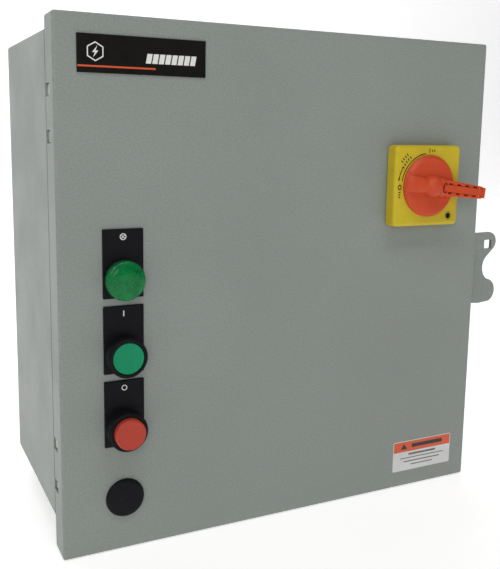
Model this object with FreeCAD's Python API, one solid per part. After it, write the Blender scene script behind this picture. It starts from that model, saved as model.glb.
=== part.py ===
"""Combination magnetic motor starter in a wall-mounted sheet-steel enclosure.

Frame: +X to the right of the door, -Y out of the door, +Z up, all in mm.
The origin is the centre of the enclosure's rear mounting face.
"""
import FreeCAD
import Part
import math
import os

V = FreeCAD.Vector
X_AXIS = V(1, 0, 0)
Y_AXIS = V(0, 1, 0)
Z_AXIS = V(0, 0, 1)

# --- driving dimensions -------------------------------------------------
ENCLOSURE_W = 373.0          # width over the box and the door
ENCLOSURE_D = 175.0          # wall to door face
BOX_H = 357.5                # height of the box
DOOR_OVER_TOP = 9.0          # door above the box
DOOR_OVER_BOTTOM = 23.5      # door below the box
FLANGE_D = 24.8              # depth of the door's turned edge
SEAM = 0.45                  # gap between door edge and box edge
SHEET = 1.5                  # steel sheet thickness
BEND_R = 2.0                 # outside bend radius of the door
DOOR_CORNER_R = 2.0          # welded and ground corners of the door
BOX_BEND_R = 2.5             # outside bend radius of the box
LIP_W = 12.0                 # inward lip on each side of the box mouth

HALF_W = ENCLOSURE_W / 2
BOX_TOP = BOX_H / 2
DOOR_TOP = BOX_TOP + DOOR_OVER_TOP
DOOR_BOTTOM = -BOX_TOP - DOOR_OVER_BOTTOM
DOOR_FACE = -ENCLOSURE_D
DOOR_INNER = DOOR_FACE + SHEET
DOOR_EDGE = DOOR_FACE + FLANGE_D
BOX_FRONT = DOOR_EDGE + SEAM

HINGE_X = -HALF_W + 3.6      # door pivot, just inside the left edge
HINGE_Y = BOX_FRONT - 9.0
HINGE_Z = ((DOOR_TOP + DOOR_BOTTOM) / 2 + 128.0, (DOOR_TOP + DOOR_BOTTOM) / 2 - 128.0)
KNUCKLE_R = 2.1
HINGE_PIN_R = 1.1
KNUCKLE_L = 8.0
KNUCKLE_OFFSET = 16.0        # from hinge centre to the middle of an outer knuckle
SLOT_H = 9.0                 # door flange slot round an outer knuckle
SLOT_END = HINGE_Y - 3.8
EDGE_ROUND = 1.4             # rolled back edge of the door on the hinge side
RUN_GAP = 0.05               # radial running clearance

HASP_T = 1.5
HASP_GAP = 0.3
HASP_TOP = 20.7
HASP_BOTTOM = -46.5

DEVICE_X = -HALF_W + 46.7    # column of 22 mm operators
DEVICE_PITCH = 55.6
PLUG_Z = DOOR_BOTTOM + 41.0
STOP_Z = DOOR_BOTTOM + 95.6
START_Z = STOP_Z + DEVICE_PITCH
RUN_Z = START_Z + DEVICE_PITCH
PANEL_HOLE_R = 11.25
BARREL_R = 11.0
LEGEND_W = 30.0
LEGEND_H = 50.0
LEGEND_T = 1.5
LEGEND_BASE = 13.5           # operator centre above the plate's lower edge
BEZEL_R = 14.6
BEZEL_H = 11.5
BUTTON_R = 11.5
STOP_STAND = 4.5             # the stop cap stands this far out of its ring
LENS_R = 14.4

HANDLE_X = 120.0
HANDLE_Z = 68.0
HANDLE_TILT = 7.0            # grip hangs a little below level in its off rest
HANDLE_PLATE = 67.0
HANDLE_PLATE_T = 11.0
GASKET_T = 1.0
DISC_R = 25.5
GRIP_TIP = 48.8              # grip tip from the handle axis
GRIP_RISE = (5.0, 10.0)      # grip front above the disc, at its root and its tip
GRIP_WINDOWS = (13.0, 21.0, 29.0, 37.0)   # start of each side window in the channel
HUB_R = 14.8
HUB_DOME_R = 8.6
CHANNEL_START = 9.0          # start of the grip's channel from the axis
CHANNEL_DEPTH = 4.6
COUPLING_R = 12.0
SHAFT_SQUARE = 6.0
SOCKET_SQUARE = 7.0

PANEL_W = 300.0
PANEL_H = 300.0
PANEL_T = 2.0
PANEL_Y = -14.0              # front face of the mounting panel
STANDOFF_XY = 138.0
WALL_HOLE_X = 165.1
WALL_HOLE_Z = 152.4
WALL_HOLE_R = 3.6
KNOCKOUT_X = (-110.0, 0.0, 110.0)
KNOCKOUT_Y = -70.0
KNOCKOUT_R = (14.3, 17.6)
SHEAR_W = 0.5                # width of a knockout's sheared line

RAIL_LOW_Z = -32.0
RAIL_DEPTH = 7.5
RAIL_FRONT = PANEL_Y - RAIL_DEPTH
RAIL_W = 35.0

STACK_X = HANDLE_X           # breaker, contactor and overload share this line
STACK_W = 45.0
POLE_PITCH = 14.0
BREAKER_TOP = 118.0
BREAKER_BOTTOM = 20.0
CONTACTOR_TOP = 9.0
CONTACTOR_BOTTOM = -76.0
OVERLOAD_TOP = -77.0
OVERLOAD_BOTTOM = -138.0

ARMATURE_TRAVEL = 5.0

SPRING_STEPS = 16            # sections in one turn of a spring
WIRE_FLATS = 8               # sides of a spring wire's section

# --- small helpers --------------------------------------------------------
def block(x0, x1, y0, y1, z0, z1):
    """A box between two corners."""
    return Part.makeBox(x1 - x0, y1 - y0, z1 - z0, V(x0, y0, z0))


def rod_y(x, z, r, y0, y1):
    return Part.makeCylinder(r, y1 - y0, V(x, y0, z), Y_AXIS)


def rod_z(x, y, r, z0, z1):
    return Part.makeCylinder(r, z1 - z0, V(x, y, z0), Z_AXIS)


def rod_x(y, z, r, x0, x1):
    return Part.makeCylinder(r, x1 - x0, V(x0, y, z), X_AXIS)


def fused(shapes):
    """One solid from several that overlap."""
    shapes = list(shapes)
    first = shapes[0]
    if len(shapes) == 1:
        return first
    return first.multiFuse(shapes[1:]).removeSplitter()


def cut(shape, tools):
    tools = list(tools)
    if not tools:
        return shape
    return shape.cut(Part.makeCompound(tools))


def rounded(shape, radius, pick):
    """Fillet the edges that pick(edge) chooses."""
    edges = [e for e in shape.Edges if pick(e)]
    if not edges:
        return shape
    return shape.makeFillet(radius, edges)


def chamfered(shape, size, pick):
    edges = [e for e in shape.Edges if pick(e)]
    if not edges:
        return shape
    return shape.makeChamfer(size, edges)


def straight(edge):
    return not edge.Degenerated and isinstance(edge.Curve, Part.Line)


def along(edge, axis):
    if not straight(edge):
        return False
    return abs(edge.Curve.Direction.dot(axis)) > 0.999


def near(value, target, tol=0.01):
    return abs(value - target) < tol


def on_y(edge, y):
    box = edge.BoundBox
    return near(box.YMin, y) and near(box.YMax, y)


def soft_block(x0, x1, y0, y1, z0, z1, r_side, r_front=0.0):
    """A moulded block: rounded along Y, and softly rounded round its front face y0."""
    shape = block(x0, x1, y0, y1, z0, z1)
    shape = rounded(shape, r_side, lambda e: along(e, Y_AXIS))
    if r_front > 0:
        shape = rounded(shape, r_front, lambda e: on_y(e, y0))
    return shape


def turned(points, x, z):
    """Revolve (radius, y) points about the Y axis through (x, z)."""
    outline = [V(r, y, 0) for r, y in points]
    face = Part.Face(Part.makePolygon(outline + [outline[0]]))
    solid = face.revolve(V(0, 0, 0), Y_AXIS, 360)
    solid.translate(V(x, 0, z))
    return solid


def prism_y(points, y0, y1):
    """Extrude an (x, z) outline along Y."""
    outline = [V(x, y0, z) for x, z in points]
    face = Part.Face(Part.makePolygon(outline + [outline[0]]))
    return face.extrude(V(0, y1 - y0, 0))


def prism_x(points, x0, x1):
    """Extrude a (y, z) outline along X."""
    outline = [V(x0, y, z) for y, z in points]
    face = Part.Face(Part.makePolygon(outline + [outline[0]]))
    return face.extrude(V(x1 - x0, 0, 0))


def prism_z(points, z0, z1):
    """Extrude an (x, y) outline along Z."""
    outline = [V(x, y, z0) for x, y in points]
    face = Part.Face(Part.makePolygon(outline + [outline[0]]))
    return face.extrude(V(0, 0, z1 - z0))


def tube_path(points, bend):
    """Straight runs joined by tangent arcs, as one wire."""
    pts = [V(*p) for p in points]
    edges = []
    start = pts[0]
    for before, corner, after in zip(pts, pts[1:], pts[2:]):
        into = (corner - before).normalize()
        out = (after - corner).normalize()
        turn = into.getAngle(out)
        setback = bend * math.tan(turn / 2)
        a = corner - into * setback
        b = corner + out * setback
        bisector = (out - into).normalize()
        centre = corner + bisector * (bend / math.cos(turn / 2))
        middle = centre - bisector * bend
        edges.append(Part.makeLine(start, a))
        edges.append(Part.Arc(a, middle, b).toShape())
        start = b
    edges.append(Part.makeLine(start, pts[-1]))
    return Part.Wire(edges)


def wire_solid(points, radius, bend):
    """A round wire swept along runs and arcs."""
    path = tube_path(points, bend)
    start = V(*points[0])
    direction = V(*points[1]) - start
    section = Part.Wire(Part.makeCircle(radius, start, direction))
    return path.makePipeShell([section], True, False)


def coil_spring(x, z, y0, y1, coil_r, wire_r, turns):
    """A helical spring along Y between two planes, its wire drawn through closely spaced sections."""
    height = (y1 - y0) - 2 * wire_r
    steps = turns * SPRING_STEPS
    rise = height / (2 * math.pi * turns)
    sections = []
    for i in range(steps + 1):
        angle = 2 * math.pi * i / SPRING_STEPS
        outward = V(math.cos(angle), 0, math.sin(angle))
        ahead = V(-coil_r * math.sin(angle), rise, coil_r * math.cos(angle))
        across = ahead.cross(outward).normalize()
        centre = V(x, y0 + wire_r + height * i / steps, z) + outward * coil_r
        rim = []
        for k in range(WIRE_FLATS):
            turn = 2 * math.pi * k / WIRE_FLATS
            rim.append(centre + outward * (wire_r * math.cos(turn)) + across * (wire_r * math.sin(turn)))
        sections.append(Part.makePolygon(rim + [rim[0]]))
    return Part.makeLoft(sections, True, True)


def hex_prism_y(x, z, across_flats, y0, y1):
    r = across_flats / math.sqrt(3)
    points = [(x + r * math.cos(math.radians(60 * i)), z + r * math.sin(math.radians(60 * i)))
              for i in range(6)]
    return prism_y(points, y0, y1)


def screw_head(x, z, r, y0, y1, slot_w=1.2, slot_d=1.0):
    """A pan head facing -Y with a cross recess; y0 is its front."""
    head = rod_y(x, z, r, y0, y1)
    head = rounded(head, min(0.6, r / 4), lambda e: on_y(e, y0))
    reach = r * 0.75
    cross = [
        block(x - reach, x + reach, y0 - 1, y0 + slot_d, z - slot_w / 2, z + slot_w / 2),
        block(x - slot_w / 2, x + slot_w / 2, y0 - 1, y0 + slot_d, z - reach, z + reach),
    ]
    return cut(head, cross)


def turn_handle(shape):
    """Bring a shape drawn with the grip level to its tilted rest."""
    shape.rotate(V(HANDLE_X, 0, HANDLE_Z), Y_AXIS, HANDLE_TILT)
    return shape


def save(name, shapes):
    """Write one node from one solid or a group of separate solids."""
    if not isinstance(shapes, (list, tuple)):
        shapes = [shapes]
    solids = []
    for shape in shapes:
        solids.extend(shape.Solids)
    for solid in solids:
        if not solid.isValid():
            print("not valid:", name)
    result = solids[0] if len(solids) == 1 else Part.makeCompound(solids)
    result.exportStep("parts/%s.step" % name)


# --- enclosure ---------------------------------------------------------------
def knockout(z_inner, x, y):
    """Two concentric sheared rings in a wall that starts at z_inner, each left on two ties."""
    z0, z1 = z_inner - 1, z_inner + SHEET + 1
    rings = []
    for ring_r, tie_turn in zip(KNOCKOUT_R, (0, 90)):
        ring = rod_z(x, y, ring_r, z0, z1).cut(rod_z(x, y, ring_r - SHEAR_W, z0 - 1, z1 + 1))
        tie = block(x - 2, x + 2, y - 40, y + 40, z0 - 1, z1 + 1)
        tie.rotate(V(x, y, 0), Z_AXIS, tie_turn)
        rings.append(ring.cut(tie))
    return rings


def box_shell():
    """Five-sided tray: its sides end in inward lips, its top and bottom in outward lips."""
    outer = block(-HALF_W, HALF_W, BOX_FRONT, 0, -BOX_TOP, BOX_TOP)
    outer = rounded(outer, BOX_BEND_R, lambda e: along(e, Y_AXIS) or on_y(e, 0.0))
    inner = block(-HALF_W + SHEET, HALF_W - SHEET, BOX_FRONT - 1, -SHEET,
                  -BOX_TOP + SHEET, BOX_TOP - SHEET)
    inner = rounded(inner, BOX_BEND_R - SHEET, lambda e: along(e, Y_AXIS) or on_y(e, -SHEET))
    lips = []
    for s in (-1, 1):
        x0, x1 = sorted((s * (HALF_W - SHEET / 2), s * (HALF_W - LIP_W)))
        lips.append(block(x0, x1, BOX_FRONT, BOX_FRONT + SHEET, -BOX_TOP + SHEET / 2, BOX_TOP - SHEET / 2))
    lip_x0, lip_x1 = HINGE_X + 12.0, HALF_W - 3.0
    lips.append(block(lip_x0, lip_x1, BOX_FRONT, BOX_FRONT + SHEET, BOX_TOP - SHEET, DOOR_TOP - 2.0))
    lips.append(block(lip_x0, lip_x1, BOX_FRONT, BOX_FRONT + SHEET, DOOR_BOTTOM + 2.0, -BOX_TOP + SHEET))
    return fused([outer.cut(inner)] + lips)


def enclosure_box():
    shape = box_shell()
    tools = []
    for sx in (-1, 1):
        for sz in (-1, 1):
            x = sx * WALL_HOLE_X
            z = sz * WALL_HOLE_Z
            tools.append(rod_y(x, z, WALL_HOLE_R, -SHEET - 1, 1))
    for x in KNOCKOUT_X:
        tools.extend(knockout(BOX_TOP - SHEET, x, KNOCKOUT_Y))
        tools.extend(knockout(-BOX_TOP, x, KNOCKOUT_Y))
    for hinge_z in HINGE_Z:
        for side in (-1, 1):
            z = hinge_z + side * KNUCKLE_OFFSET
            tools.append(block(-HALF_W + SHEET, -HALF_W + 2 * SHEET + 0.4, BOX_FRONT - 1,
                               BOX_FRONT + SHEET + 1, z - SLOT_H / 2, z + SLOT_H / 2))
    return cut(shape, tools)


def box_hinge_leaf(hinge_z, side):
    """Leaf on the inside of the box wall whose curl reaches into a door slot."""
    z0 = hinge_z + side * KNUCKLE_OFFSET - KNUCKLE_L / 2
    z1 = z0 + KNUCKLE_L
    x0 = -HALF_W + SHEET
    leaf = block(x0, x0 + SHEET, HINGE_Y, -120.0, z0, z1)
    curl = rod_z(HINGE_X, HINGE_Y, KNUCKLE_R, z0, z1)
    shape = leaf.fuse(curl)
    bore = rod_z(HINGE_X, HINGE_Y, HINGE_PIN_R + RUN_GAP, z0 - 1, z1 + 1)
    return shape.cut(bore).removeSplitter()


def hinge_pin(hinge_z):
    reach = KNUCKLE_OFFSET + KNUCKLE_L / 2
    pin = rod_z(HINGE_X, HINGE_Y, HINGE_PIN_R, hinge_z - reach - 1.2, hinge_z + reach)
    head = rod_z(HINGE_X, HINGE_Y, HINGE_PIN_R + 0.9, hinge_z + reach + 0.05, hinge_z + reach + 1.4)
    neck = rod_z(HINGE_X, HINGE_Y, HINGE_PIN_R, hinge_z + reach - 0.5, hinge_z + reach + 0.5)
    shape = fused([pin, neck, head])
    return rounded(shape, 0.5, lambda e: not straight(e) and near(e.BoundBox.ZMin, hinge_z + reach + 1.4))


def hasp_outline(y):
    """Two-eared hasp: padlock ear above, finger ear below, waist between."""
    pts = {
        "root_top": V(HALF_W - 3.0, y, HASP_TOP - 0.8),
        "top": V(221.0, y, HASP_TOP),
        "ear_mid": V(230.5, y, 15.8),
        "ear_low": V(229.3, y, 5.9),
        "flank": V(222.5, y, -0.6),
        "waist": V(216.6, y, -12.8),
        "lower_flank": V(222.5, y, -23.6),
        "low_ear_mid": V(232.9, y, -34.0),
        "low_ear_end": V(226.5, y, -45.2),
        "bottom": V(214.0, y, HASP_BOTTOM),
        "root_bottom": V(HALF_W - 3.0, y, HASP_BOTTOM + 2.6),
    }
    edges = [
        Part.makeLine(pts["root_top"], pts["top"]),
        Part.Arc(pts["top"], pts["ear_mid"], pts["ear_low"]).toShape(),
        Part.makeLine(pts["ear_low"], pts["flank"]),
        Part.Arc(pts["flank"], pts["waist"], pts["lower_flank"]).toShape(),
        Part.Arc(pts["lower_flank"], pts["low_ear_mid"], pts["low_ear_end"]).toShape(),
        Part.makeLine(pts["low_ear_end"], pts["bottom"]),
        Part.makeLine(pts["bottom"], pts["root_bottom"]),
        Part.makeLine(pts["root_bottom"], pts["root_top"]),
    ]
    return Part.Face(Part.Wire(edges))


def hasp_plate(y0, y1):
    plate = hasp_outline(y0).extrude(V(0, y1 - y0, 0))
    hole = block(217.4, 226.2, y0 - 1, y1 + 1, 5.2, 13.6)
    hole = rounded(hole, 0.8, lambda e: along(e, Y_AXIS))
    return plate.cut(hole)


DOOR_HASP_BACK = BOX_FRONT - HASP_T - HASP_GAP
DOOR_HASP_FRONT = DOOR_HASP_BACK - HASP_T


def box_hasp():
    """Matching plate welded to the front of the box lip."""
    y1 = BOX_FRONT
    y0 = y1 - HASP_T
    plate = hasp_plate(y0, y1)
    tab = block(HALF_W - LIP_W + 0.5, HALF_W - 2.9, y0, y1, HASP_BOTTOM + 2.6, HASP_TOP - 0.8)
    return fused([plate, tab])


def door_hasp():
    """Plate that passes through the door's flange, with a leg welded inside it."""
    plate = hasp_plate(DOOR_HASP_FRONT, DOOR_HASP_BACK)
    inner_x = HALF_W - SHEET
    leg = block(inner_x - HASP_T, inner_x, DOOR_EDGE - 14.0, DOOR_HASP_BACK,
                HASP_BOTTOM + 2.6, HASP_TOP - 0.8)
    return fused([plate, leg])


def ground_lug():
    """Box lug with its clamp screw, on a stud through the panel."""
    x, z = 0.0, -125.0
    base = soft_block(x - 9, x + 9, PANEL_Y - 14, PANEL_Y, z - 8, z + 8, 1.5)
    base = base.cut(rod_z(x, PANEL_Y - 7, 4.0, z - 20, z + 20))
    screw = screw_head(x, z, 4.0, PANEL_Y - 19, PANEL_Y - 14)
    return [base, screw]


def panel_standoffs():
    posts = []
    for sx in (-1, 1):
        for sz in (-1, 1):
            x, z = sx * STANDOFF_XY, sz * STANDOFF_XY
            post = hex_prism_y(x, z, 11.0, PANEL_Y + PANEL_T, -SHEET)
            stud = rod_y(x, z, 3.0, PANEL_Y - 9.0, PANEL_Y + PANEL_T + 1)
            posts.append(fused([post, stud]))
    return posts


def panel_nuts():
    nuts = []
    for sx in (-1, 1):
        for sz in (-1, 1):
            x, z = sx * STANDOFF_XY, sz * STANDOFF_XY
            nut = hex_prism_y(x, z, 10.0, PANEL_Y - 5.0, PANEL_Y)
            nuts.append(nut.cut(rod_y(x, z, 3.05, PANEL_Y - 6, PANEL_Y + 1)))
    return nuts


def mounting_panel():
    panel = block(-PANEL_W / 2, PANEL_W / 2, PANEL_Y, PANEL_Y + PANEL_T, -PANEL_H / 2, PANEL_H / 2)
    panel = rounded(panel, 6.0, lambda e: along(e, Y_AXIS))
    holes = [rod_y(sx * STANDOFF_XY, sz * STANDOFF_XY, 3.3, PANEL_Y - 1, PANEL_Y + PANEL_T + 1)
             for sx in (-1, 1) for sz in (-1, 1)]
    return cut(panel, holes)


def din_rail(x0, x1, z):
    """35 mm top-hat rail, 7.5 mm deep, slotted in its foot."""
    t = 1.0
    foot = block(x0, x1, PANEL_Y - t, PANEL_Y, z - 13.5, z + 13.5)
    webs = [block(x0, x1, RAIL_FRONT, PANEL_Y, z + s * 13.0 - t / 2, z + s * 13.0 + t / 2)
            for s in (-1, 1)]
    brims = [block(x0, x1, RAIL_FRONT, RAIL_FRONT + t, z + 12.5, z + RAIL_W / 2),
             block(x0, x1, RAIL_FRONT, RAIL_FRONT + t, z - RAIL_W / 2, z - 12.5)]
    shape = fused([foot] + webs + brims)
    slots = []
    x = x0 + 15
    while x < x1 - 15:
        slot = block(x - 6, x + 6, PANEL_Y - t - 1, PANEL_Y + 1, z - 2.6, z + 2.6)
        slots.append(rounded(slot, 2.5, lambda e: along(e, Y_AXIS)))
        x += 25
    return cut(shape, slots)


# --- door ----------------------------------------------------------------------
def device_hole(z):
    hole = rod_y(DEVICE_X, z, PANEL_HOLE_R, DOOR_FACE - 1, DOOR_INNER + 1)
    key = block(DEVICE_X - 1.6, DEVICE_X + 1.6, DOOR_FACE - 1, DOOR_INNER + 1, z, z + 12.8)
    return hole.fuse(key)


def door_panel():
    """Pan-shaped door: flat face with its four edges turned back."""
    outer = block(-HALF_W, HALF_W, DOOR_FACE, DOOR_EDGE, DOOR_BOTTOM, DOOR_TOP)
    outer = rounded(outer, DOOR_CORNER_R, lambda e: along(e, Y_AXIS))
    outer = rounded(outer, BEND_R, lambda e: on_y(e, DOOR_FACE))
    outer = rounded(outer, EDGE_ROUND, lambda e: along(e, Z_AXIS) and on_y(e, DOOR_EDGE)
                    and near(e.BoundBox.XMin, -HALF_W))
    inner = block(-HALF_W + SHEET, HALF_W - SHEET, DOOR_INNER, DOOR_EDGE + 1,
                  DOOR_BOTTOM + SHEET, DOOR_TOP - SHEET)
    inner = rounded(inner, DOOR_CORNER_R - SHEET, lambda e: along(e, Y_AXIS))
    inner = rounded(inner, BEND_R - SHEET, lambda e: on_y(e, DOOR_INNER))
    shape = outer.cut(inner)
    tools = [device_hole(z) for z in (RUN_Z, START_Z, STOP_Z, PLUG_Z)]
    tools.append(rod_y(HANDLE_X, HANDLE_Z, 16.0, DOOR_FACE - 1, DOOR_INNER + 1))
    for sx, sz in HANDLE_CORNERS:
        tools.append(rod_y(HANDLE_X + sx, HANDLE_Z + sz, 2.2, DOOR_FACE - 1, DOOR_INNER + 1))
    for hinge_z in HINGE_Z:
        for side in (-1, 1):
            z = hinge_z + side * KNUCKLE_OFFSET
            tools.append(block(-HALF_W - 1, -HALF_W + SHEET + 1, SLOT_END, DOOR_EDGE + 1,
                               z - SLOT_H / 2, z + SLOT_H / 2))
    tools.append(block(HALF_W - SHEET - 1, HALF_W + 1, DOOR_HASP_FRONT - 0.2, DOOR_EDGE + 1,
                       HASP_BOTTOM + 1.8, HASP_TOP + 0.2))
    return cut(shape, tools)


def door_hinge_leaf(hinge_z):
    half = KNUCKLE_OFFSET - KNUCKLE_L / 2 - 0.3
    x0 = -HALF_W + SHEET
    leaf = block(x0, x0 + SHEET, DOOR_FACE + 6.0, HINGE_Y, hinge_z - half, hinge_z + half)
    curl = rod_z(HINGE_X, HINGE_Y, KNUCKLE_R, hinge_z - half, hinge_z + half)
    bore = rod_z(HINGE_X, HINGE_Y, HINGE_PIN_R + RUN_GAP, hinge_z - half - 1, hinge_z + half + 1)
    return leaf.fuse(curl).cut(bore).removeSplitter()


def nameplate():
    x0, x1 = -HALF_W + 15.9, -HALF_W + 109.4
    z0, z1 = DOOR_BOTTOM + 350.4, DOOR_BOTTOM + 376.1
    plate = block(x0, x1, DOOR_FACE - 0.8, DOOR_FACE, z0, z1)
    return rounded(plate, 0.4, lambda e: along(e, Y_AXIS))


def warning_label():
    x0, x1 = -HALF_W + 292.7, -HALF_W + 356.2
    z0, z1 = DOOR_BOTTOM + 14.6, DOOR_BOTTOM + 42.1
    label = block(x0, x1, DOOR_FACE - 0.3, DOOR_FACE, z0, z1)
    return rounded(label, 1.2, lambda e: along(e, Y_AXIS))


def legend_plate(z):
    """Holder plate with a shallow field for its word above the operator."""
    x0, x1 = DEVICE_X - LEGEND_W / 2, DEVICE_X + LEGEND_W / 2
    z0 = z - LEGEND_BASE
    z1 = z0 + LEGEND_H
    front = DOOR_FACE - LEGEND_T
    plate = block(x0, x1, front, DOOR_FACE, z0, z1)
    plate = rounded(plate, 0.6, lambda e: along(e, Y_AXIS))
    plate = chamfered(plate, 0.4, lambda e: on_y(e, front))
    field = block(x0 + 1.5, x1 - 1.5, front - 1, front + 0.3, z + 15.5, z1 - 1.5)
    field = rounded(field, 0.8, lambda e: along(e, Y_AXIS))
    hole = rod_y(DEVICE_X, z, PANEL_HOLE_R, front - 1, DOOR_FACE + 1)
    return cut(plate, [field, hole])


DEVICE_SEAT = DOOR_FACE - LEGEND_T
BARREL_END = DOOR_FACE + 20.0
BEZEL_FRONT = DEVICE_SEAT - BEZEL_H
CAP_FLOOR = DEVICE_SEAT - 1.5
LEDGE_FRONT = BARREL_END - 6.0
LEDGE_BACK = BARREL_END - 3.5
STEM_R = 6.0
STEM_END = BARREL_END + 2.5


def button_bezel(z):
    """Ring, threaded barrel and inner ledge of a push-button operator."""
    outline = [
        (BEZEL_R, DEVICE_SEAT), (BEZEL_R, BEZEL_FRONT + 1.6), (BEZEL_R - 1.0, BEZEL_FRONT),
        (BUTTON_R + 0.6, BEZEL_FRONT), (BUTTON_R + 0.3, BEZEL_FRONT + 0.6),
        (BUTTON_R + 0.3, CAP_FLOOR), (8.5, CAP_FLOOR), (8.5, LEDGE_FRONT),
        (STEM_R + 0.3, LEDGE_FRONT), (STEM_R + 0.3, LEDGE_BACK), (8.5, LEDGE_BACK),
        (8.5, BARREL_END), (BARREL_R, BARREL_END), (BARREL_R, DEVICE_SEAT),
    ]
    return turned(outline, DEVICE_X, z)


def button(z, face_y, crown):
    """Cap with a softly dished face, skirt and stem."""
    skirt_end = BEZEL_FRONT + 4.5
    outline = [
        (0, face_y + 0.4), (BUTTON_R - 3.5, face_y + 0.15), (BUTTON_R - 2.0, face_y),
        (BUTTON_R - crown, face_y), (BUTTON_R - 0.3, face_y + crown * 0.4),
        (BUTTON_R, face_y + crown), (BUTTON_R, skirt_end), (STEM_R, skirt_end),
        (STEM_R, STEM_END - 4.0), (3.0, STEM_END - 2.0), (3.0, STEM_END), (0, STEM_END),
    ]
    return turned(outline, DEVICE_X, z)


def button_spring(z):
    return coil_spring(DEVICE_X, z, BEZEL_FRONT + 4.6, LEDGE_FRONT - 0.1, 7.3, 0.45, 5)


def pilot_bezel(z):
    outline = [
        (BEZEL_R, DEVICE_SEAT), (BEZEL_R, DEVICE_SEAT - 2.2), (BEZEL_R - 0.6, DEVICE_SEAT - 2.8),
        (12.4, DEVICE_SEAT - 2.8), (12.4, DEVICE_SEAT - 0.8), (9.5, DEVICE_SEAT - 0.8),
        (9.5, BARREL_END), (BARREL_R, BARREL_END), (BARREL_R, DEVICE_SEAT),
    ]
    return turned(outline, DEVICE_X, z)


def pilot_lens(z):
    """Hollow screw-in lens: straight skirt, rounded shoulder and low domed front."""
    seat = DEVICE_SEAT - 2.8
    skirt = seat - 3.6
    front = skirt - 3.2
    r = LENS_R
    shoulder = [(r - 2.6 * (1 - math.cos(a)), skirt - 2.2 * math.sin(a))
                for a in [math.radians(d) for d in (0, 18, 36, 54, 72, 90)]]
    outline = [(r - 0.2, seat), (r, seat - 0.4)] + shoulder
    outline += [(8.0, front + 0.35), (4.0, front + 0.08), (0, front)]
    outline += [(0, front + 1.8), (8.0, front + 2.1), (11.0, skirt - 0.4), (11.0, seat + 1.8),
                (12.2, seat + 1.8), (12.2, seat)]
    return turned(outline, DEVICE_X, z)


def device_nut(z):
    """Fixing collar behind the door with grip notches."""
    outline = [(14.5, DOOR_INNER), (14.5, DOOR_INNER + 6.5), (BARREL_R + 0.1, DOOR_INNER + 6.5),
               (BARREL_R + 0.1, DOOR_INNER)]
    ring = turned(outline, DEVICE_X, z)
    notches = []
    for i in range(8):
        notch = block(DEVICE_X + 13.3, DEVICE_X + 16, DOOR_INNER - 1, DOOR_INNER + 8, z - 1.5, z + 1.5)
        notch.rotate(V(DEVICE_X, 0, z), Y_AXIS, i * 45)
        notches.append(notch)
    return cut(ring, notches)


def contact_block(z):
    """Switch block snapped behind the barrel, with a plunger pocket and four terminal wells."""
    y0, y1 = BARREL_END, BARREL_END + 27.0
    body = soft_block(DEVICE_X - 15, DEVICE_X + 15, y0, y1, z - 21, z + 21, 1.2, 0.6)
    tools = [rod_y(DEVICE_X, z, 7.2, y0 - 1, y0 + 9.0)]
    for sx in (-1, 1):
        for sz in (-1, 1):
            x, zz = DEVICE_X + sx * 8.0, z + sz * 15.5
            tools.append(rod_y(x, zz, 3.4, y1 - 5.0, y1 + 1))
            tools.append(block(x - 2.6, x + 2.6, y1 - 14.0, y1 - 8.0, *sorted((zz, zz + sz * 8))))
    return cut(body, tools)


def contact_block_screws(z):
    y1 = BARREL_END + 27.0
    screws = []
    for sx in (-1, 1):
        for sz in (-1, 1):
            x, zz = DEVICE_X + sx * 8.0, z + sz * 15.5
            head = rod_y(x, zz, 3.0, y1 - 5.0, y1 - 1.2)
            slot = block(x - 2.6, x + 2.6, y1 - 2.2, y1, zz - 0.5, zz + 0.5)
            screws.append(head.cut(slot))
    return screws


def lamp_block(z):
    """Lamp holder behind the pilot light with its lamp reaching through the barrel."""
    y0, y1 = BARREL_END, BARREL_END + 22.0
    body = soft_block(DEVICE_X - 15, DEVICE_X + 15, y0, y1, z - 21, z + 21, 1.2, 0.6)
    neck = rod_y(DEVICE_X, z, 8.0, DOOR_INNER - 1.0, y0 + 1)
    lamp = rod_y(DEVICE_X, z, 4.5, DEVICE_SEAT - 3.0, DOOR_INNER)
    lamp = rounded(lamp, 4.0, lambda e: on_y(e, DEVICE_SEAT - 3.0))
    return fused([body, neck, lamp])


def hole_plug(z):
    front = DOOR_FACE - 3.0
    outline = [(14.6, DOOR_FACE), (14.6, DOOR_FACE - 1.0), (14.2, DOOR_FACE - 2.0), (13.2, front + 0.3),
               (12.0, front), (0, front - 0.4), (0, DOOR_FACE + 1.0), (8.0, DOOR_FACE + 1.0),
               (8.0, BARREL_END - 8.0), (BARREL_R, BARREL_END - 8.0), (BARREL_R, DOOR_FACE)]
    return turned(outline, DEVICE_X, z)


# --- rotary handle on the door ------------------------------------------------------
PLATE_BACK = DOOR_FACE - GASKET_T
PLATE_FRONT = PLATE_BACK - HANDLE_PLATE_T
DISC_BACK = PLATE_FRONT - 0.3
DISC_FRONT = DISC_BACK - 4.6
HUB_END = DOOR_FACE + 4.0
COUPLING_END = HUB_END + 13.0
HANDLE_CORNERS = [(sx * 27.0, sz * 27.0) for sx in (-1, 1) for sz in (-1, 1)]


def handle_gasket():
    half = HANDLE_PLATE / 2 - 1.5
    pad = soft_block(HANDLE_X - half, HANDLE_X + half, PLATE_BACK, DOOR_FACE,
                     HANDLE_Z - half, HANDLE_Z + half, 3.0)
    holes = [rod_y(HANDLE_X, HANDLE_Z, 16.0, PLATE_BACK - 1, DOOR_FACE + 1)]
    for sx, sz in HANDLE_CORNERS:
        holes.append(rod_y(HANDLE_X + sx, HANDLE_Z + sz, 2.2, PLATE_BACK - 1, DOOR_FACE + 1))
    return cut(pad, holes)


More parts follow.
